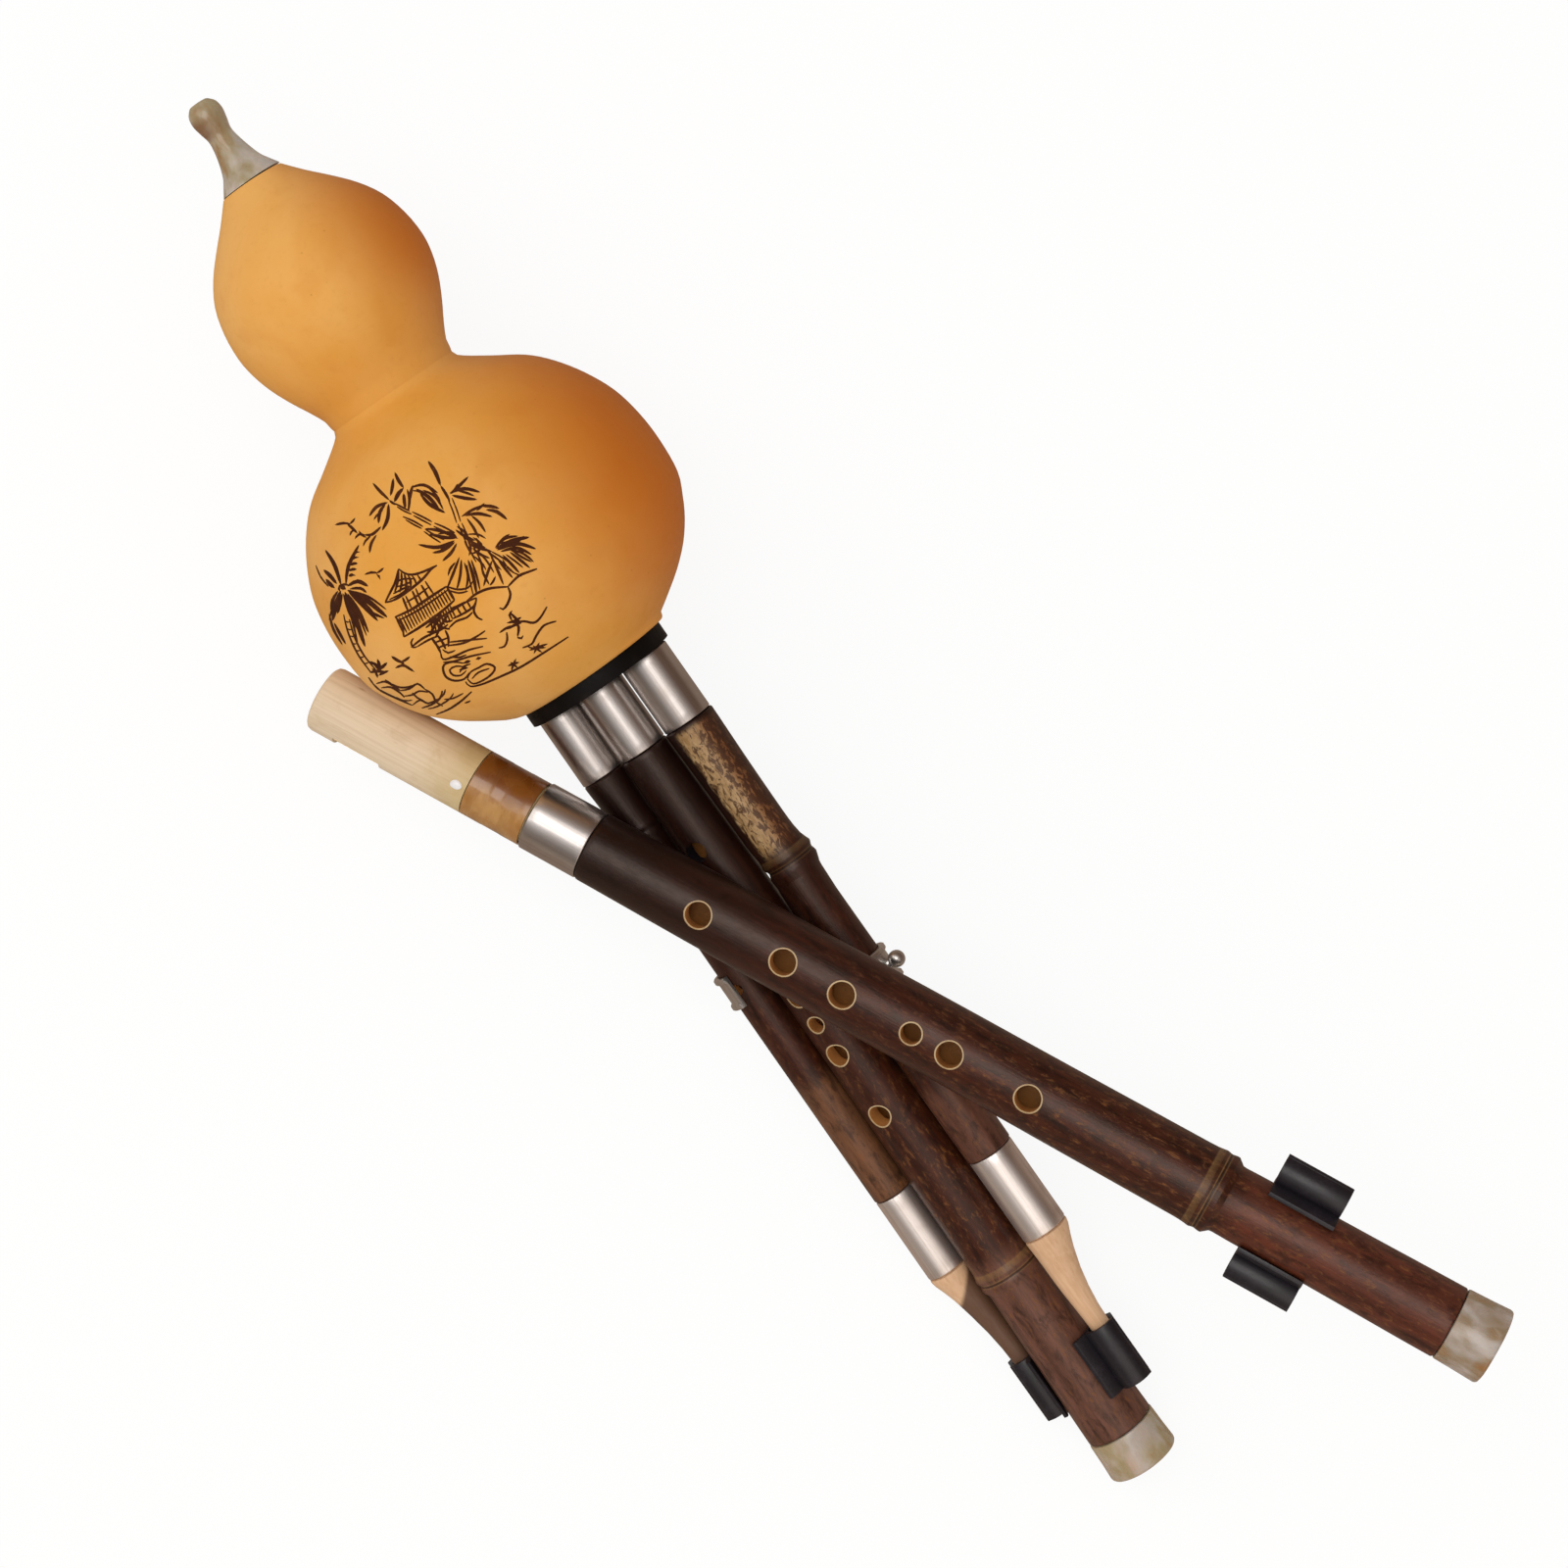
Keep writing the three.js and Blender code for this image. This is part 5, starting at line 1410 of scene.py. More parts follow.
@dataclass
class Tail:
    """The part of a pipe that goes into the gourd: pale tube, sealing film and brass reed."""

    prefix: str
    body: str
    place: Placing
    ferrule_radius: float
    bore_radius: float
    tail_length: float
    wrap_length: float = 18.5
    reed_turn: float = 0.0
    wrap_step: float = 0.35
    film: float = 0.6
    spigot: float = 8.0
    end_wall: float = 3.0
    reed_length: float = 14.0
    reed_from_end: float = 9.0
    reed_share: float = 0.75
    reed_thickness: float = 0.4
    reed_inset: float = 0.05
    window_margin: float = 1.2
    glue_at: Optional[float] = None

    def build(self) -> None:
        """Builds the tail and the film, and dresses the reed's own solid."""
        outer = self.ferrule_radius - self.wrap_step
        under = outer - self.film - FIT_GAP
        spigot = self.bore_radius - FIT_GAP
        bore = spigot - SHEET_WALL
        end = -self.wrap_length - self.tail_length
        outline = [(end, outer - 1.6), (end + 0.2, outer - 0.9), (end + 0.7, outer - 0.3),
                   (end + 1.7, outer), (end + 16, outer), (end + 30, outer),
                   (-self.wrap_length, outer), (-self.wrap_length, under), (0, under),
                   (0, spigot), (self.spigot, spigot)]
        tail = turned(f"{self.prefix}_tail_tube", outline, 64, Ends.CAPPED)
        hollow = turned("hollow", [(end + self.end_wall, bore), (self.spigot + 1, bore)], 48,
                        Ends.CAPPED)
        combine(tail, hollow, "DIFFERENCE")
        self.cut_reed_seat(tail, outer, end)
        wood = PaleWood(f"{self.prefix}_tail_wood", stain_from=-self.wrap_length - 14,
                        stain_to=-self.wrap_length + 6, grain_strength=0.35)
        finish(tail, wood.material(), self.place, 30, self.body, "pale_bamboo",
               f"{self.prefix}_tail")
        start, stop, inner = FIT_GAP - self.wrap_length, -FIT_GAP, under + FIT_GAP
        film = turned(f"{self.prefix}_sealing_film", [
            (start, inner), (start, outer - 0.12), (start + 0.15, outer), (-12, outer),
            (-11.9, outer - 0.06), (-6, outer - 0.06), (-5.9, outer), (stop - 0.1, outer),
            (stop, outer - 0.1), (stop, inner)], 72)
        finish(film, FINISHES["amber"], self.place, 35, self.body, "amber_wrap",
               f"{self.prefix}_wrap")
        if self.glue_at is not None:
            dab = loft(f"{self.prefix}_glue_dab", [
                Ring(self.glue_at + 1.7 * math.cos(a), 1.3 * math.sin(a), 0.45 * math.sin(a),
                     y=-1.0, z=outer) for a in (math.radians(d) for d in range(170, 0, -16))],
                20, Ends.CAPPED)
            roughen(dab, 0.2, 1.5)
            finish(dab, FINISHES["glue"], self.place, 60, self.body, "pale_bamboo")
        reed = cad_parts[f"{self.prefix}_reed"]
        reed.data.materials.clear()
        reed.data.materials.append(FINISHES["brass"])

    def cut_reed_seat(self, tail: bpy.types.Object, outer: float, end: float) -> None:
        """Cuts the shallow seat of the reed and the window under its tongue.

        Args:
            tail: The tail, in the pipe's frame.
            outer: The tail's radius.
            end: Where the tail ends.
        """
        width = self.reed_share * outer
        top = math.sqrt(outer ** 2 - (width / 2) ** 2) - self.reed_inset
        floor = top - self.reed_thickness - FIT_GAP
        middle = end + self.reed_from_end + self.reed_length / 2
        half = self.reed_length / 2 + FIT_GAP
        seat = block("seat", (middle - half, -width / 2 - FIT_GAP, floor),
                     (middle + half, width / 2 + FIT_GAP, outer + 2))
        half = self.reed_length / 2 - self.window_margin
        window = block("window", (middle - half, -width / 2 + self.window_margin, 0),
                       (middle + half, width / 2 - self.window_margin, floor + 0.5))
        turn = Matrix.Rotation(math.radians(self.reed_turn), 4, "X")
        for tool in (seat, window):
            tool.data.transform(turn)
            combine(tail, tool, "DIFFERENCE")


@dataclass
class MelodyPipe:
    """A fingered pipe: bamboo with one node, ferrule, tail, horn ring and two holders."""

    prefix: str
    place: Placing
    skin: BambooSkin
    horn: HornSkin
    length: float
    bore_radius: float
    open_bore_radius: float
    ferrule_radius: float
    ferrule_length: float
    top_radius: float
    middle_radius: float
    node_at: float
    node_rise: float
    node_half: float
    below_radius: float
    end_radius: float
    ring_radius: float
    ring_flare: float
    ring_length: float
    hole_radius: float
    small_radius: float
    thumb_at: float
    holes: Tuple[float, ...]
    small_holes: Tuple[float, ...]
    holder_at: float
    holder_seat: float
    roll: float
    # The first holes, left without a raw rim and given black walls as painted shade.
    painted_shade_holes: int = 0
    raw_from: float = 20.0
    reed_turn: float = 0.0
    glue_at: Optional[float] = None
    tail_length: float = 44.0
    sides: int = 64
    rim_width: float = 0.4
    rim_depth: float = 0.22
    drill_overrun: float = 3.0
    edge: float = 1.2

    def outline(self) -> List[Point]:
        """Returns the outside of the bamboo from the ferrule to the horn ring."""
        start = self.ferrule_length + FIT_GAP
        step = (self.middle_radius - self.top_radius) / self.node_at
        half, rise, middle = self.node_half, self.node_rise, self.middle_radius
        points = [(start, self.top_radius - 0.3), (start + 0.5, self.top_radius),
                  (start + 1.5, self.top_radius + 0.05)]
        reach = self.node_at - 1.6 * half - start
        points += [(start + reach * k / 4, self.top_radius + step * (start + reach * k / 4))
                   for k in (1, 2, 3, 4)]
        points += [(self.node_at + along * half, middle + share * rise) for along, share in (
            (-1.0, 0.12), (-0.6, 0.62), (-0.4, 1.0), (-0.28, 0.92), (-0.1, 0.3), (0.05, 0.12),
            (0.22, 0.5), (0.4, 0.82), (0.55, 0.72))]
        end = self.length - self.ring_length
        points += [(self.node_at + half, self.below_radius),
                   (self.node_at + 2.4 * half, self.below_radius),
                   ((self.node_at + end) / 2 + 4, (self.below_radius + self.end_radius) / 2),
                   (end - 0.4, self.end_radius), (end, self.end_radius - 0.25)]
        return points

    def build(self) -> None:
        """Builds the pipe's pieces, in order from the gourd to the open end."""
        Tail(self.prefix, self.prefix, self.place, self.ferrule_radius, self.bore_radius,
             self.tail_length, reed_turn=self.reed_turn, glue_at=self.glue_at).build()
        build_ferrule(f"{self.prefix}_sleeve", self.prefix, self.place, self.ferrule_radius,
                      FIT_GAP, self.ferrule_length, f"{self.prefix}_ferrule")
        self.build_bamboo()
        self.build_ring()
        for side, word in ((Side.LEFT, "left"), (Side.RIGHT, "right")):
            holder = Holder().build(f"{self.prefix}_{word}_clasp", self.holder_at,
                                    self.holder_seat, self.roll, side)
            finish(holder, FINISHES["black"], self.place, 40, self.prefix, "black_plastic",
                   f"{self.prefix}_{word}_holder")

    def build_bamboo(self) -> None:
        """Builds the bamboo tube with its finger holes, each with a thin raw rim but the first ones,
        which as painted shade have no rim and black walls.
        """
        end = self.length - self.ring_length
        seat = (self.open_bore_radius + self.end_radius) / 2
        tenon_end = end + self.ring_length / 2
        tenon = self.ferrule_radius - SHEET_WALL - FIT_GAP
        outer = smooth_outline(self.outline(), 3.0)
        shape = [(FIT_GAP, tenon), (self.ferrule_length, tenon)] + outer
        shape += [(end, seat), (tenon_end, seat), (tenon_end, self.open_bore_radius),
                  (self.node_at, self.open_bore_radius), (self.node_at, self.bore_radius),
                  (FIT_GAP, self.bore_radius)]
        tube = turned(f"{self.prefix}_cane", shape, self.sides)
        roughen(tube, 0.22, 16, (3.0, 1, 1), self.length)
        tube.data.materials.append(self.skin.material())
        tube.data.materials.append(FINISHES["raw_bore"])
        for face in tube.data.polygons:
            inner = math.hypot(face.center.y, face.center.z) < (self.open_bore_radius + 0.3) * MM
            if inner and face.center.x > self.raw_from * MM:
                face.material_index = 1
        places = [(x, self.hole_radius, 1) for x in self.holes]
        places += [(x, self.small_radius, 1) for x in self.small_holes]
        places.append((self.thumb_at, self.hole_radius, -1))
        rims = self.drill(places[self.painted_shade_holes:], self.rim_width, "raw_edge")
        core = turned("core", [(self.ferrule_length, self.top_radius - self.rim_depth)]
                      + [(x, r - self.rim_depth) for x, r in outer if x < self.node_at], 96,
                      Ends.CAPPED)
        combine(rims, core, "DIFFERENCE")
        combine(tube, rims, "DIFFERENCE")
        combine(tube, self.drill(places[self.painted_shade_holes:], 0.0, "raw_bore"), "DIFFERENCE")
        # Painted shade: the first holes' walls take the black moulding finish so that they read dark,
        # and with raw_from past them the bore under them keeps the dark skin.
        if self.painted_shade_holes:
            combine(tube, self.drill(places[:self.painted_shade_holes], 0.0, "black"), "DIFFERENCE")
        settle(tube, self.place, 32)
        hand_over(tube, self.prefix, "bamboo", f"{self.prefix}_bamboo")

    def drill(self, places: Sequence[Tuple[float, float, int]], extra: float,
              finish_name: str) -> bpy.types.Object:
        """Makes the row of round cutters for the finger holes.

        Args:
            places: Each hole's place along the pipe, its radius, and 1 on top or -1 below.
            extra: How much wider than the hole a cutter is.
            finish_name: The finish that the cut leaves.

        Returns:
            The cutters as one object.
        """
        reach = self.middle_radius + self.drill_overrun
        return join([drill_bit(x, radius + extra, sign * reach, 40, finish_name)
                     for x, radius, sign in places])

    def build_ring(self) -> None:
        """Builds the horn ring, a little flared, with rounded edges."""
        start = self.length - self.ring_length + FIT_GAP
        seat = (self.open_bore_radius + self.end_radius) / 2
        tenon_end = self.length - self.ring_length / 2 + FIT_GAP
        flared = self.ring_radius + self.ring_flare
        end, edge = self.length, self.edge
        outline = [(start, seat + FIT_GAP), (start, self.ring_radius - 0.5),
                   (start + 0.15, self.ring_radius - 0.15), (start + 0.5, self.ring_radius),
                   (start + self.ring_length / 2, self.ring_radius + self.ring_flare * 0.4),
                   (end - edge, flared), (end - 0.55 * edge, flared - 0.1 * edge),
                   (end - 0.2 * edge, flared - 0.38 * edge), (end, flared - edge),
                   (end, self.open_bore_radius + 0.6), (end - 0.6, self.open_bore_radius),
                   (tenon_end, self.open_bore_radius), (tenon_end, seat + FIT_GAP)]
        ring = turned(f"{self.prefix}_end_ring", outline, 80)
        roughen(ring, 0.08, 9, (1.5, 1, 1), self.length)
        finish(ring, self.horn.material(), self.place, 40, self.prefix, "horn",
               f"{self.prefix}_horn_ring")


def build_ferrule(name: str, body: str, place: Placing, radius: float, start: float,
                  end: float, node: str, bright: float = 0.62, smooth: float = 0.31) -> None:
    """Builds a sleeve of rolled sheet with softly turned edges.

    Args:
        name: The object's name.
        body: The body that it moves with.
        place: The pipe's place.
        radius: The outer radius.
        start: Where it starts along the pipe.
        end: Where it ends.
        node: The solid that it stands for.
        bright: How bright its sheet is; a brighter sheet on the lower drone sleeves is painted
            reflection.
        smooth: How rough its sheet is.
    """
    outline = [(start, radius - SHEET_WALL), (start, radius - 0.25), (start + 0.1, radius - 0.08),
               (start + 0.3, radius), (end - 0.3, radius), (end - 0.1, radius - 0.08),
               (end, radius - 0.25), (end, radius - SHEET_WALL)]
    outline[4:4] = [(start + (end - start) * k / 8, radius) for k in range(1, 8)]
    sleeve = turned(name, outline, 80)
    roughen(sleeve, 0.006, 12, (6.0, 1, 1), radius)
    sheet = SheetMetal(f"{name}_sheet", (bright, 0.94 * bright, 0.91 * bright, 1), smooth,
                       shift=radius * 7)
    finish(sleeve, sheet.material(), place, 40, body, "ferrule_metal", node)


@dataclass
class MuteClip:
    """A springy metal clip round a drone, ridged at both ends, with a knob if it has one."""

    prefix: str
    body: str
    place: Placing
    side: Side
    pipe_radius: float
    start: float
    length: float
    knob_radius: float = 0.0
    arc_top: float = 20.0
    thickness: float = 0.8
    rim_rise: float = 0.7
    rim_length: float = 1.6

    def build(self) -> None:
        """Builds the clip and hands it over."""
        inner = self.pipe_radius + FIT_GAP
        outer = inner + self.thickness
        rim = outer + self.rim_rise
        end = self.start + self.length
        near, far = self.start + self.rim_length, end - self.rim_length
        outline = [(self.start, inner), (self.start, rim - 0.3), (self.start + 0.3, rim),
                   (near - 0.3, rim), (near, rim - 0.25), (near + 0.15, outer),
                   (far - 0.15, outer), (far, rim - 0.25), (far + 0.3, rim), (end - 0.3, rim),
                   (end, rim - 0.3), (end, inner)]
        clip = turned(f"{self.prefix}_spring_clip", outline, 96)
        away = block("away", (self.start - 1, -rim - 1, -rim - 1), (end + 1, 0.5, rim + 1))
        if self.side is Side.LEFT:
            away.data.transform(Matrix.Scale(-1, 4, (0, 1, 0)))
            away.data.flip_normals()
        combine(clip, away, "DIFFERENCE")
        if self.arc_top < rim:
            combine(clip, block("top", (self.start - 1, -rim - 1, self.arc_top),
                                (end + 1, rim + 1, rim + 1)), "DIFFERENCE")
        if self.knob_radius:
            combine(clip, self.knob(outer), "UNION")
        bevel(clip, 0.15, 2, 50)
        sheet = SheetMetal(f"{self.prefix}_clip_sheet", base=(0.7, 0.69, 0.68, 1))
        finish(clip, sheet.material(), self.place, 35, self.body, "ferrule_metal",
               f"{self.prefix}_mute_clip")

    def knob(self, outer: float) -> bpy.types.Object:
        """Returns the knob: a short stem with a ball, turned about Y."""
        foot, reach = outer - self.thickness / 2, outer + self.knob_radius
        size = self.knob_radius
        rings = [Ring(foot, 0.75 * size), Ring(outer + 0.15 * size, 0.6 * size)]
        rings += [Ring(reach - size * math.cos(a), size * math.sin(a))
                  for a in (math.radians(d) for d in range(38, 171, 12))]
        knob = loft("knob", rings, 32, Ends.CAPPED)
        turn = Matrix.Rotation(math.radians(90 * self.side.value), 4, "Z")
        middle = Matrix.Translation(((self.start + self.length / 2) * MM, 0, 0))
        knob.data.transform(middle @ turn)
        return knob


@dataclass
class Drone:
    """A drone pipe: bamboo with one node, two ferrules, tail, plug and a mute clip."""

    prefix: str
    place: Placing
    clip_place: Placing
    side: Side
    skin: BambooSkin
    bore_radius: float
    ferrule_radius: float
    top_radius: float
    middle_radius: float
    lower_radius: float
    lower_start: float
    lower_length: float
    node_at: float
    node_rise: float
    node_half: float
    clip_at: float
    clip_length: float
    clip_arc_top: float = 20.0
    node_lean: float = 0.0
    knob_radius: float = 0.0
    ferrule_length: float = 21.4
    tail_length: float = 34.0
    sides: int = 56
    clip_hole_radius: float = 1.6
    clip_hole_turn: float = 55.0
    drill_overrun: float = 3.0
    plug_shank: float = 5.5
    plug_tip_radius: float = 2.9
    plug_tip_depth: float = 10.0
    plug_clearance: float = 0.5
    # Where the plug's painted shadow of the main pipe starts; None for none.
    plug_painted_shadow_from: Optional[float] = None
    plug_along: Tuple[float, ...] = (0.06, 0.15, 0.27, 0.47, 0.66, 0.85, 1)
    plug_narrow: Tuple[float, ...] = (0.06, 0.22, 0.41, 0.67, 0.85, 0.96, 1)

    def build(self, main: MelodyPipe) -> None:
        """Builds the drone's pieces, in order from the gourd to the plug.

        Args:
            main: The pipe whose holder takes the plug's tip.
        """
        Tail(self.prefix, "instrument", self.place, self.ferrule_radius, self.bore_radius,
             self.tail_length).build()
        build_ferrule(f"{self.prefix}_upper_sleeve", "instrument", self.place,
                      self.ferrule_radius, FIT_GAP, self.ferrule_length,
                      f"{self.prefix}_upper_ferrule")
        self.build_bamboo()
        # Painted reflection: the lower sleeves take a much brighter sheet (0.98) to stand for the
        # bright reflection that they show.
        build_ferrule(f"{self.prefix}_lower_sleeve", "instrument", self.place,
                      self.lower_radius, self.lower_start, self.lower_start + self.lower_length,
                      f"{self.prefix}_lower_ferrule", 0.98, 0.42)
        self.build_plug(main)
        MuteClip(self.prefix, self.prefix.replace("drone", "mute_clip"), self.clip_place,
                 self.side, self.middle_radius, self.clip_at, self.clip_length,
                 self.knob_radius, self.clip_arc_top).build()

    def outline(self) -> List[Point]:
        """Returns the outside of the bamboo between the two ferrules."""
        start, end = self.ferrule_length + FIT_GAP, self.lower_start - FIT_GAP
        half, rise, middle = self.node_half, self.node_rise, self.middle_radius
        step = (middle - self.top_radius) / self.node_at
        near = self.node_at - 1.6 * half
        points = [(start, self.top_radius - 0.25), (start + 0.4, self.top_radius),
                  ((start + near) / 2, self.top_radius + step * (start + near) / 2),
                  (near, self.top_radius + step * near)]
        points += [(self.node_at + along * half, middle + share * rise) for along, share in (
            (-1.0, 0.12), (-0.6, 0.62), (-0.4, 1.0), (-0.28, 0.92), (-0.1, 0.3), (0.05, 0.1),
            (0.22, 0.45), (0.4, 0.8), (0.6, 0.6), (1.0, 0.1))]
        points += [(self.node_at + 3 * half, middle), (end - 0.4, middle), (end, middle - 0.25)]
        return points

    def ring(self, x: float, radius: float) -> Ring:
        """Returns a ring of the bamboo, which bulges to its outer flank at the node."""
        near = math.exp(-((x - self.node_at) / (1.2 * self.node_half)) ** 2)
        if radius < self.middle_radius - 1:
            near = 0
        return Ring(x, radius, y=self.side.value * self.node_lean * near)

    def build_bamboo(self) -> None:
        """Builds the bamboo tube with the small sound hole under the clip."""
        end = self.lower_start - FIT_GAP
        tenon = self.ferrule_radius - SHEET_WALL - FIT_GAP
        lower_tenon = self.lower_radius - SHEET_WALL - FIT_GAP
        tenon_end = self.lower_start + self.lower_length - self.plug_shank - FIT_GAP
        shape = [(FIT_GAP, tenon), (self.ferrule_length, tenon)]
        shape += smooth_outline(self.outline(), 3.0)
        shape += [(end, lower_tenon), (tenon_end, lower_tenon), (tenon_end, self.bore_radius),
                  (FIT_GAP, self.bore_radius)]
        rings = [self.ring(x, r) for x, r in shape]
        tube = loft(f"{self.prefix}_cane", rings + rings[:1], self.sides, Ends.JOINED)
        roughen(tube, 0.16, 12, (3.0, 1, 1), self.lower_start)
        tube.data.materials.append(self.skin.material())
        drill = drill_bit(0, self.clip_hole_radius, self.middle_radius + self.drill_overrun, 32,
                          "raw_bore")
        turn = math.radians(-self.side.value * (90 - self.clip_hole_turn))
        middle = (self.clip_at + self.clip_length / 2) * MM
        drill.data.transform(Matrix.Translation((middle, 0, 0)) @ Matrix.Rotation(turn, 4, "X"))
        combine(tube, drill, "DIFFERENCE")
        settle(tube, self.place, 32)
        hand_over(tube, "instrument", "bamboo", f"{self.prefix}_bamboo")

    def build_plug(self, main: MelodyPipe) -> None:
        """Builds the plug, which leans from the ferrule into the main pipe's holder.

        Args:
            main: The pipe whose holder takes the plug's tip.
        """
        to_drone = self.place.matrix().inverted() @ main.place.matrix()
        holder = Holder()
        reach = main.holder_seat + holder.outer_radius - holder.sink
        entry = to_drone @ (Vector((main.holder_at, self.side.value * reach, 0)) * MM) / MM
        end = to_drone @ (Vector((main.holder_at + self.plug_tip_depth,
                                  self.side.value * reach, 0)) * MM) / MM
        start = self.lower_start + self.lower_length
        shank = self.lower_radius - SHEET_WALL - FIT_GAP
        offset = math.hypot(entry.y, entry.z)
        rings = [Ring(start - self.plug_shank, shank), Ring(start + FIT_GAP, shank),
                 Ring(start + 2 * FIT_GAP, self.lower_radius - 0.15)]
        tip, wide = self.plug_tip_radius, self.lower_radius
        stations = []
        for along, narrow in zip((0.0,) + self.plug_along, (0.0,) + self.plug_narrow):
            radius = wide + (tip - wide) * narrow
            edge = wide + (offset + tip - wide) * along
            centre = (edge - radius) / offset
            stations.append((start + 2 * FIT_GAP + (entry.x - start - 2 * FIT_GAP) * along,
                             radius, entry.y * centre, entry.z * centre))
        for before, after in zip(stations, stations[1:]):
            for k in range(1, 5):
                x, r, y, z = (a + (b - a) * k / 4 for a, b in zip(before, after))
                rings.append(Ring(x, r, y=y, z=z))
        rings += [Ring(end.x - 0.6, tip, y=end.y, z=end.z),
                  Ring(end.x, tip - 0.5, y=end.y, z=end.z)]
        plug = loft(f"{self.prefix}_stopper", rings, 48, Ends.CAPPED)
        clear = turned("clear", [(main.ferrule_length, main.top_radius + self.plug_clearance)]
                       + [(x, r + self.plug_clearance) for x, r in main.outline()], 96,
                       Ends.CAPPED)
        clear.data.transform(to_drone)
        combine(plug, clear, "DIFFERENCE")
        roughen(plug, 0.2, 6, (2.2, 1, 1), self.lower_start)
        # The plug's wood may carry a painted shadow of the main pipe past a slanting edge.
        wood = PaleWood(f"{self.prefix}_plug_wood", tone(212, 174, 138), tone(182, 136, 94), 30,
                        0.8, grain_strength=0.5, painted_shadow_from=self.plug_painted_shadow_from)
        finish(plug, wood.material(), self.place, 40, "instrument", "plug_wood",
               f"{self.prefix}_plug")


MAIN_PIPE = MelodyPipe(
    prefix="main_pipe", place=MAIN_PLACE,
    skin=BambooSkin("main_bamboo", 265, 197.5, below=tone(112, 74, 60), below_after=-10,
                    seed=11.0),
    horn=HornSkin("main_ring_horn", tone(176, 154, 136), shift=31.0),
    length=265, bore_radius=4.4, open_bore_radius=6.2, ferrule_radius=7, ferrule_length=21.4,
    top_radius=7.2, middle_radius=9.3, node_at=197.5, node_rise=0.6, node_half=3.5,
    below_radius=9, end_radius=9.9, ring_radius=10.2, ring_flare=0.4, ring_length=12.4,
    hole_radius=3.1, small_radius=2.3, thumb_at=36, holes=(52.2, 75.4, 100.2, 120, 140.5),
    # Painted shade: the first hole gets black walls, and raw_from past it keeps the bore under it
    # dark.
    small_holes=(109.7,), holder_at=223, holder_seat=10.015, roll=36, painted_shade_holes=1,
    raw_from=62)

SPARE_PIPE = MelodyPipe(
    prefix="spare_pipe", place=SPARE_PLACE,
    skin=BambooSkin("spare_bamboo", 290.6, 207.1, below=tone(96, 46, 30), seed=47.0),
    horn=HornSkin("spare_ring_horn", tone(150, 128, 112), tone(132, 112, 84), shift=83.0),
    length=290.6, bore_radius=5.6, open_bore_radius=7, ferrule_radius=9.8, ferrule_length=17.5,
    top_radius=9.9, middle_radius=10.85, node_at=207.1, node_rise=0.35, node_half=4,
    below_radius=9.6, end_radius=10.1, ring_radius=10.2, ring_flare=0.45, ring_length=13.4,
    hole_radius=3.6, small_radius=2.9, thumb_at=38, holes=(53.3, 79.3, 97.2, 129.7, 153.4),
    small_holes=(118.2,), holder_at=220.1, holder_seat=10.112, roll=12, reed_turn=75,
    tail_length=48.6, glue_at=-21.3)

LEFT_DRONE = Drone(
    prefix="left_drone", place=LEFT_PLACE, clip_place=LEFT_CLIP_PLACE, side=Side.LEFT,
    skin=BambooSkin("left_bamboo", 163, 40, node_pale=0.0, below=tone(120, 80, 54),
                    below_after=80, seed=5.0),
    bore_radius=2.9, ferrule_radius=6.5, top_radius=6.4, middle_radius=6, lower_radius=5.9,
    lower_start=163, lower_length=26.3, node_at=40, node_rise=0.35, node_half=3, clip_at=85.7,
    # The left plug carries a painted shadow of the main pipe on its far part.
    clip_length=10, clip_arc_top=3.2, plug_painted_shadow_from=196)

RIGHT_DRONE = Drone(
    prefix="right_drone", place=RIGHT_PLACE, clip_place=RIGHT_CLIP_PLACE, side=Side.RIGHT,
    skin=BambooSkin("right_bamboo", 165.8, 68.5, worn=(22.0, 64.0), node_pale=0.3,
                    below=tone(104, 66, 52), below_after=70, seed=23.0),
    bore_radius=3.4, ferrule_radius=7.2, top_radius=7.5, middle_radius=6.9, lower_radius=6.7,
    lower_start=165.8, lower_length=26.5, node_at=68.5, node_rise=0.7, node_half=4.5,
    node_lean=0.9, clip_at=101.6, clip_length=10.2, knob_radius=2.4)


# The studio


@dataclass(frozen=True)
class Lamp:
    """A soft square light: place and width in metres, power in watts, and its colour."""

    name: str
    place: Triple
    wide: float
    power: float
    tint: Triple


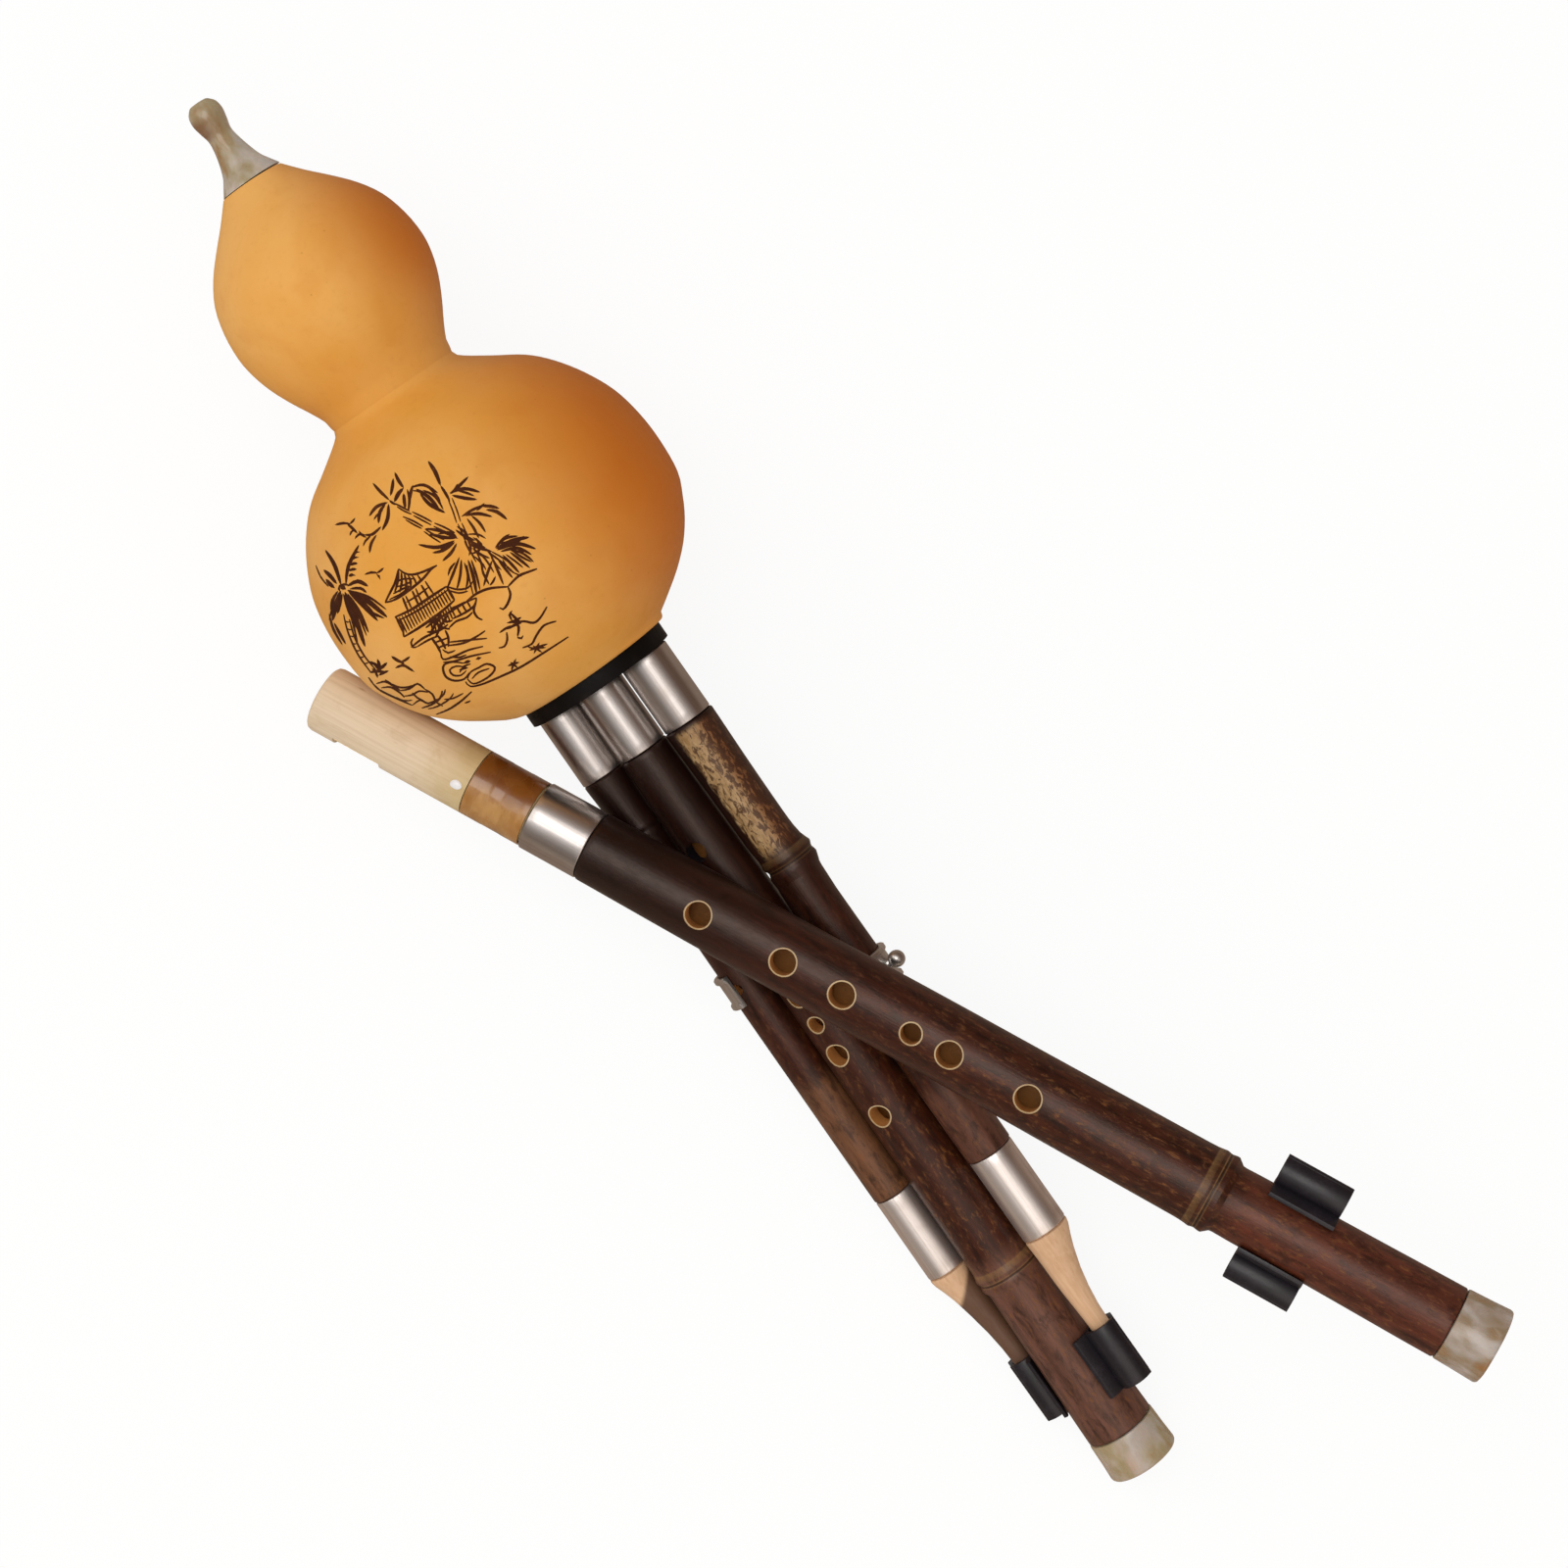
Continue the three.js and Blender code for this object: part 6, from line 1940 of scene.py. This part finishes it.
@dataclass
class Studio:
    """A pale floor, soft lights and the camera, looking straight down."""

    floor_size: float = 6.0
    floor_color: Color = (0.9, 0.9, 0.9, 1)
    floor_bright: float = 0.9
    eye: Triple = (0.0952, 0.0267, 1.1)
    right: Triple = (0.566, 0.824, 0)
    up: Triple = (-0.824, 0.566, 0)
    lens: float = 89.7
    sensor: float = 36.0
    room_stops: Tuple[Tuple[float, Color], ...] = (
        (0.0, (0.5, 0.42, 0.35, 1)), (0.25, (0.16, 0.12, 0.09, 1)), (0.6, (0.2, 0.17, 0.15, 1)),
        (0.82, (0.62, 0.59, 0.58, 1)), (0.93, (0.5, 0.46, 0.44, 1)), (1.0, (0.34, 0.3, 0.28, 1)))
    air: Color = (1, 0.96, 0.92, 1)
    air_strength: float = 0.6
    copper_side: Triple = (-0.25, 0.97, 0)
    copper_from: float = 0.0
    copper_to: float = 0.75
    aim_at: Triple = (0.095, 0.027, 0.03)
    lamps: Tuple[Lamp, ...] = (
        Lamp("key_light", (-0.85, -0.62, 0.95), 1.0, 4.2, (1.0, 0.985, 0.97)),
        Lamp("fill_light", (1.15, -0.1, 0.85), 1.3, 3.8, (1.0, 0.86, 0.72)),
        Lamp("top_light", (-0.2, -0.15, 2.2), 1.4, 17, (1.0, 0.97, 0.94)))
    copper: Color = (0.13, 0.072, 0.045, 1)
    floor_mirrored: Color = (0.3, 0.22, 0.17, 1)

    def build(self) -> None:
        """Builds the floor, the lights, the camera and the air around them."""
        self.build_floor()
        self.build_lights()
        self.build_camera()
        self.build_world()

    def build_floor(self) -> None:
        """Builds the floor: nearly white to the camera, and it keeps the shadow."""
        deselect()
        bpy.ops.mesh.primitive_plane_add(size=self.floor_size)
        floor = bpy.context.object
        floor.name = "studio_floor"
        paint = Paint("studio_floor_white")
        tree = paint.material.node_tree
        paint.set(Base_Color=self.floor_color, Roughness=0.9, Specular_IOR_Level=0.1)
        glow = tree.nodes.new("ShaderNodeEmission")
        glow.inputs["Color"].default_value = WHITE
        rays = tree.nodes.new("ShaderNodeLightPath")
        share = paint.times(rays.outputs["Is Camera Ray"], self.floor_bright)
        dim = tree.nodes.new("ShaderNodeEmission")
        dim.inputs["Color"].default_value = self.floor_mirrored
        mirrored = tree.nodes.new("ShaderNodeMixShader")
        tree.links.new(rays.outputs["Is Glossy Ray"], mirrored.inputs[0])
        tree.links.new(paint.skin.outputs[0], mirrored.inputs[1])
        tree.links.new(dim.outputs[0], mirrored.inputs[2])
        blend = tree.nodes.new("ShaderNodeMixShader")
        tree.links.new(share, blend.inputs[0])
        tree.links.new(mirrored.outputs[0], blend.inputs[1])
        tree.links.new(glow.outputs[0], blend.inputs[2])
        tree.links.new(blend.outputs[0], tree.nodes["Material Output"].inputs["Surface"])
        floor.data.materials.append(paint.material)

    def build_lights(self) -> None:
        """Hangs the soft lights, each facing the instrument."""
        for lamp in self.lamps:
            glow = bpy.data.lights.new(lamp.name, "AREA")
            glow.shape = "RECTANGLE"
            glow.size = glow.size_y = lamp.wide
            glow.energy, glow.color = lamp.power, lamp.tint
            light = bpy.data.objects.new(lamp.name, glow)
            light.location = lamp.place
            aim = Vector(self.aim_at) - Vector(lamp.place)
            light.rotation_euler = aim.to_track_quat("-Z", "Y").to_euler()
            bpy.context.collection.objects.link(light)

    def build_camera(self) -> None:
        """Builds the camera straight above the instrument, turned as in the picture."""
        lens = bpy.data.cameras.new("camera")
        lens.lens = self.lens
        lens.sensor_width = self.sensor
        camera = bpy.data.objects.new("camera", lens)
        right, up = Vector(self.right).normalized(), Vector(self.up).normalized()
        back = right.cross(up)
        turn = Matrix((right, up, back)).transposed().to_4x4()
        camera.matrix_world = Matrix.Translation(self.eye) @ turn
        bpy.context.collection.objects.link(camera)
        bpy.context.scene.camera = camera

    def build_world(self) -> None:
        """Sets a pale warm surrounding: glossy faces see a room in it, the camera sees white."""
        world = bpy.data.worlds.new("studio_air")
        bpy.context.scene.world = world
        world.use_nodes = True
        nodes, links = world.node_tree.nodes, world.node_tree.links
        air = nodes["Background"]
        air.inputs["Color"].default_value = self.air
        air.inputs["Strength"].default_value = self.air_strength
        seen = nodes.new("ShaderNodeBackground")
        seen.inputs["Color"].default_value = WHITE
        seen.inputs["Strength"].default_value = 1.0
        room = nodes.new("ShaderNodeBackground")
        where = nodes.new("ShaderNodeTexCoord")
        parts = nodes.new("ShaderNodeSeparateXYZ")
        height = nodes.new("ShaderNodeValToRGB")
        fill_ramp(height.color_ramp, self.room_stops)
        links.new(where.outputs["Generated"], parts.inputs[0])
        links.new(parts.outputs[2], height.inputs[0])
        flank = nodes.new("ShaderNodeVectorMath")
        flank.operation = "DOT_PRODUCT"
        flank.inputs[1].default_value = self.copper_side
        links.new(where.outputs["Generated"], flank.inputs[0])
        share = nodes.new("ShaderNodeMapRange")
        share.interpolation_type = "SMOOTHSTEP"
        share.inputs["From Min"].default_value = self.copper_from
        share.inputs["From Max"].default_value = self.copper_to
        links.new(flank.outputs["Value"], share.inputs["Value"])
        tint = nodes.new("ShaderNodeMix")
        tint.data_type = "RGBA"
        tint.inputs[7].default_value = self.copper
        links.new(share.outputs[0], tint.inputs[0])
        links.new(height.outputs[0], tint.inputs[6])
        links.new(tint.outputs[2], room.inputs["Color"])
        rays = nodes.new("ShaderNodeLightPath")
        shiny = nodes.new("ShaderNodeMixShader")
        links.new(rays.outputs["Is Glossy Ray"], shiny.inputs[0])
        links.new(air.outputs[0], shiny.inputs[1])
        links.new(room.outputs[0], shiny.inputs[2])
        blend = nodes.new("ShaderNodeMixShader")
        links.new(rays.outputs["Is Camera Ray"], blend.inputs[0])
        links.new(shiny.outputs[0], blend.inputs[1])
        links.new(seen.outputs[0], blend.inputs[2])
        links.new(blend.outputs[0], nodes["World Output"].inputs["Surface"])


def write_size() -> None:
    """Brings the view layer up to date."""
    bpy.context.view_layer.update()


def main() -> None:
    """Builds every sub-assembly in order, then the studio."""
    logging.basicConfig(level=logging.INFO, format="%(message)s")
    bpy.context.scene.view_settings.view_transform = "Standard"
    Studio().build()
    chest = WindChest()
    BurntDrawing().build(chest.build_gourd())
    chest.build_mouthpiece()
    chest.build_collar()
    MAIN_PIPE.build()
    LEFT_DRONE.build(MAIN_PIPE)
    RIGHT_DRONE.build(MAIN_PIPE)
    SPARE_PIPE.build()
    write_size()


if __name__ == "__main__":
    main()
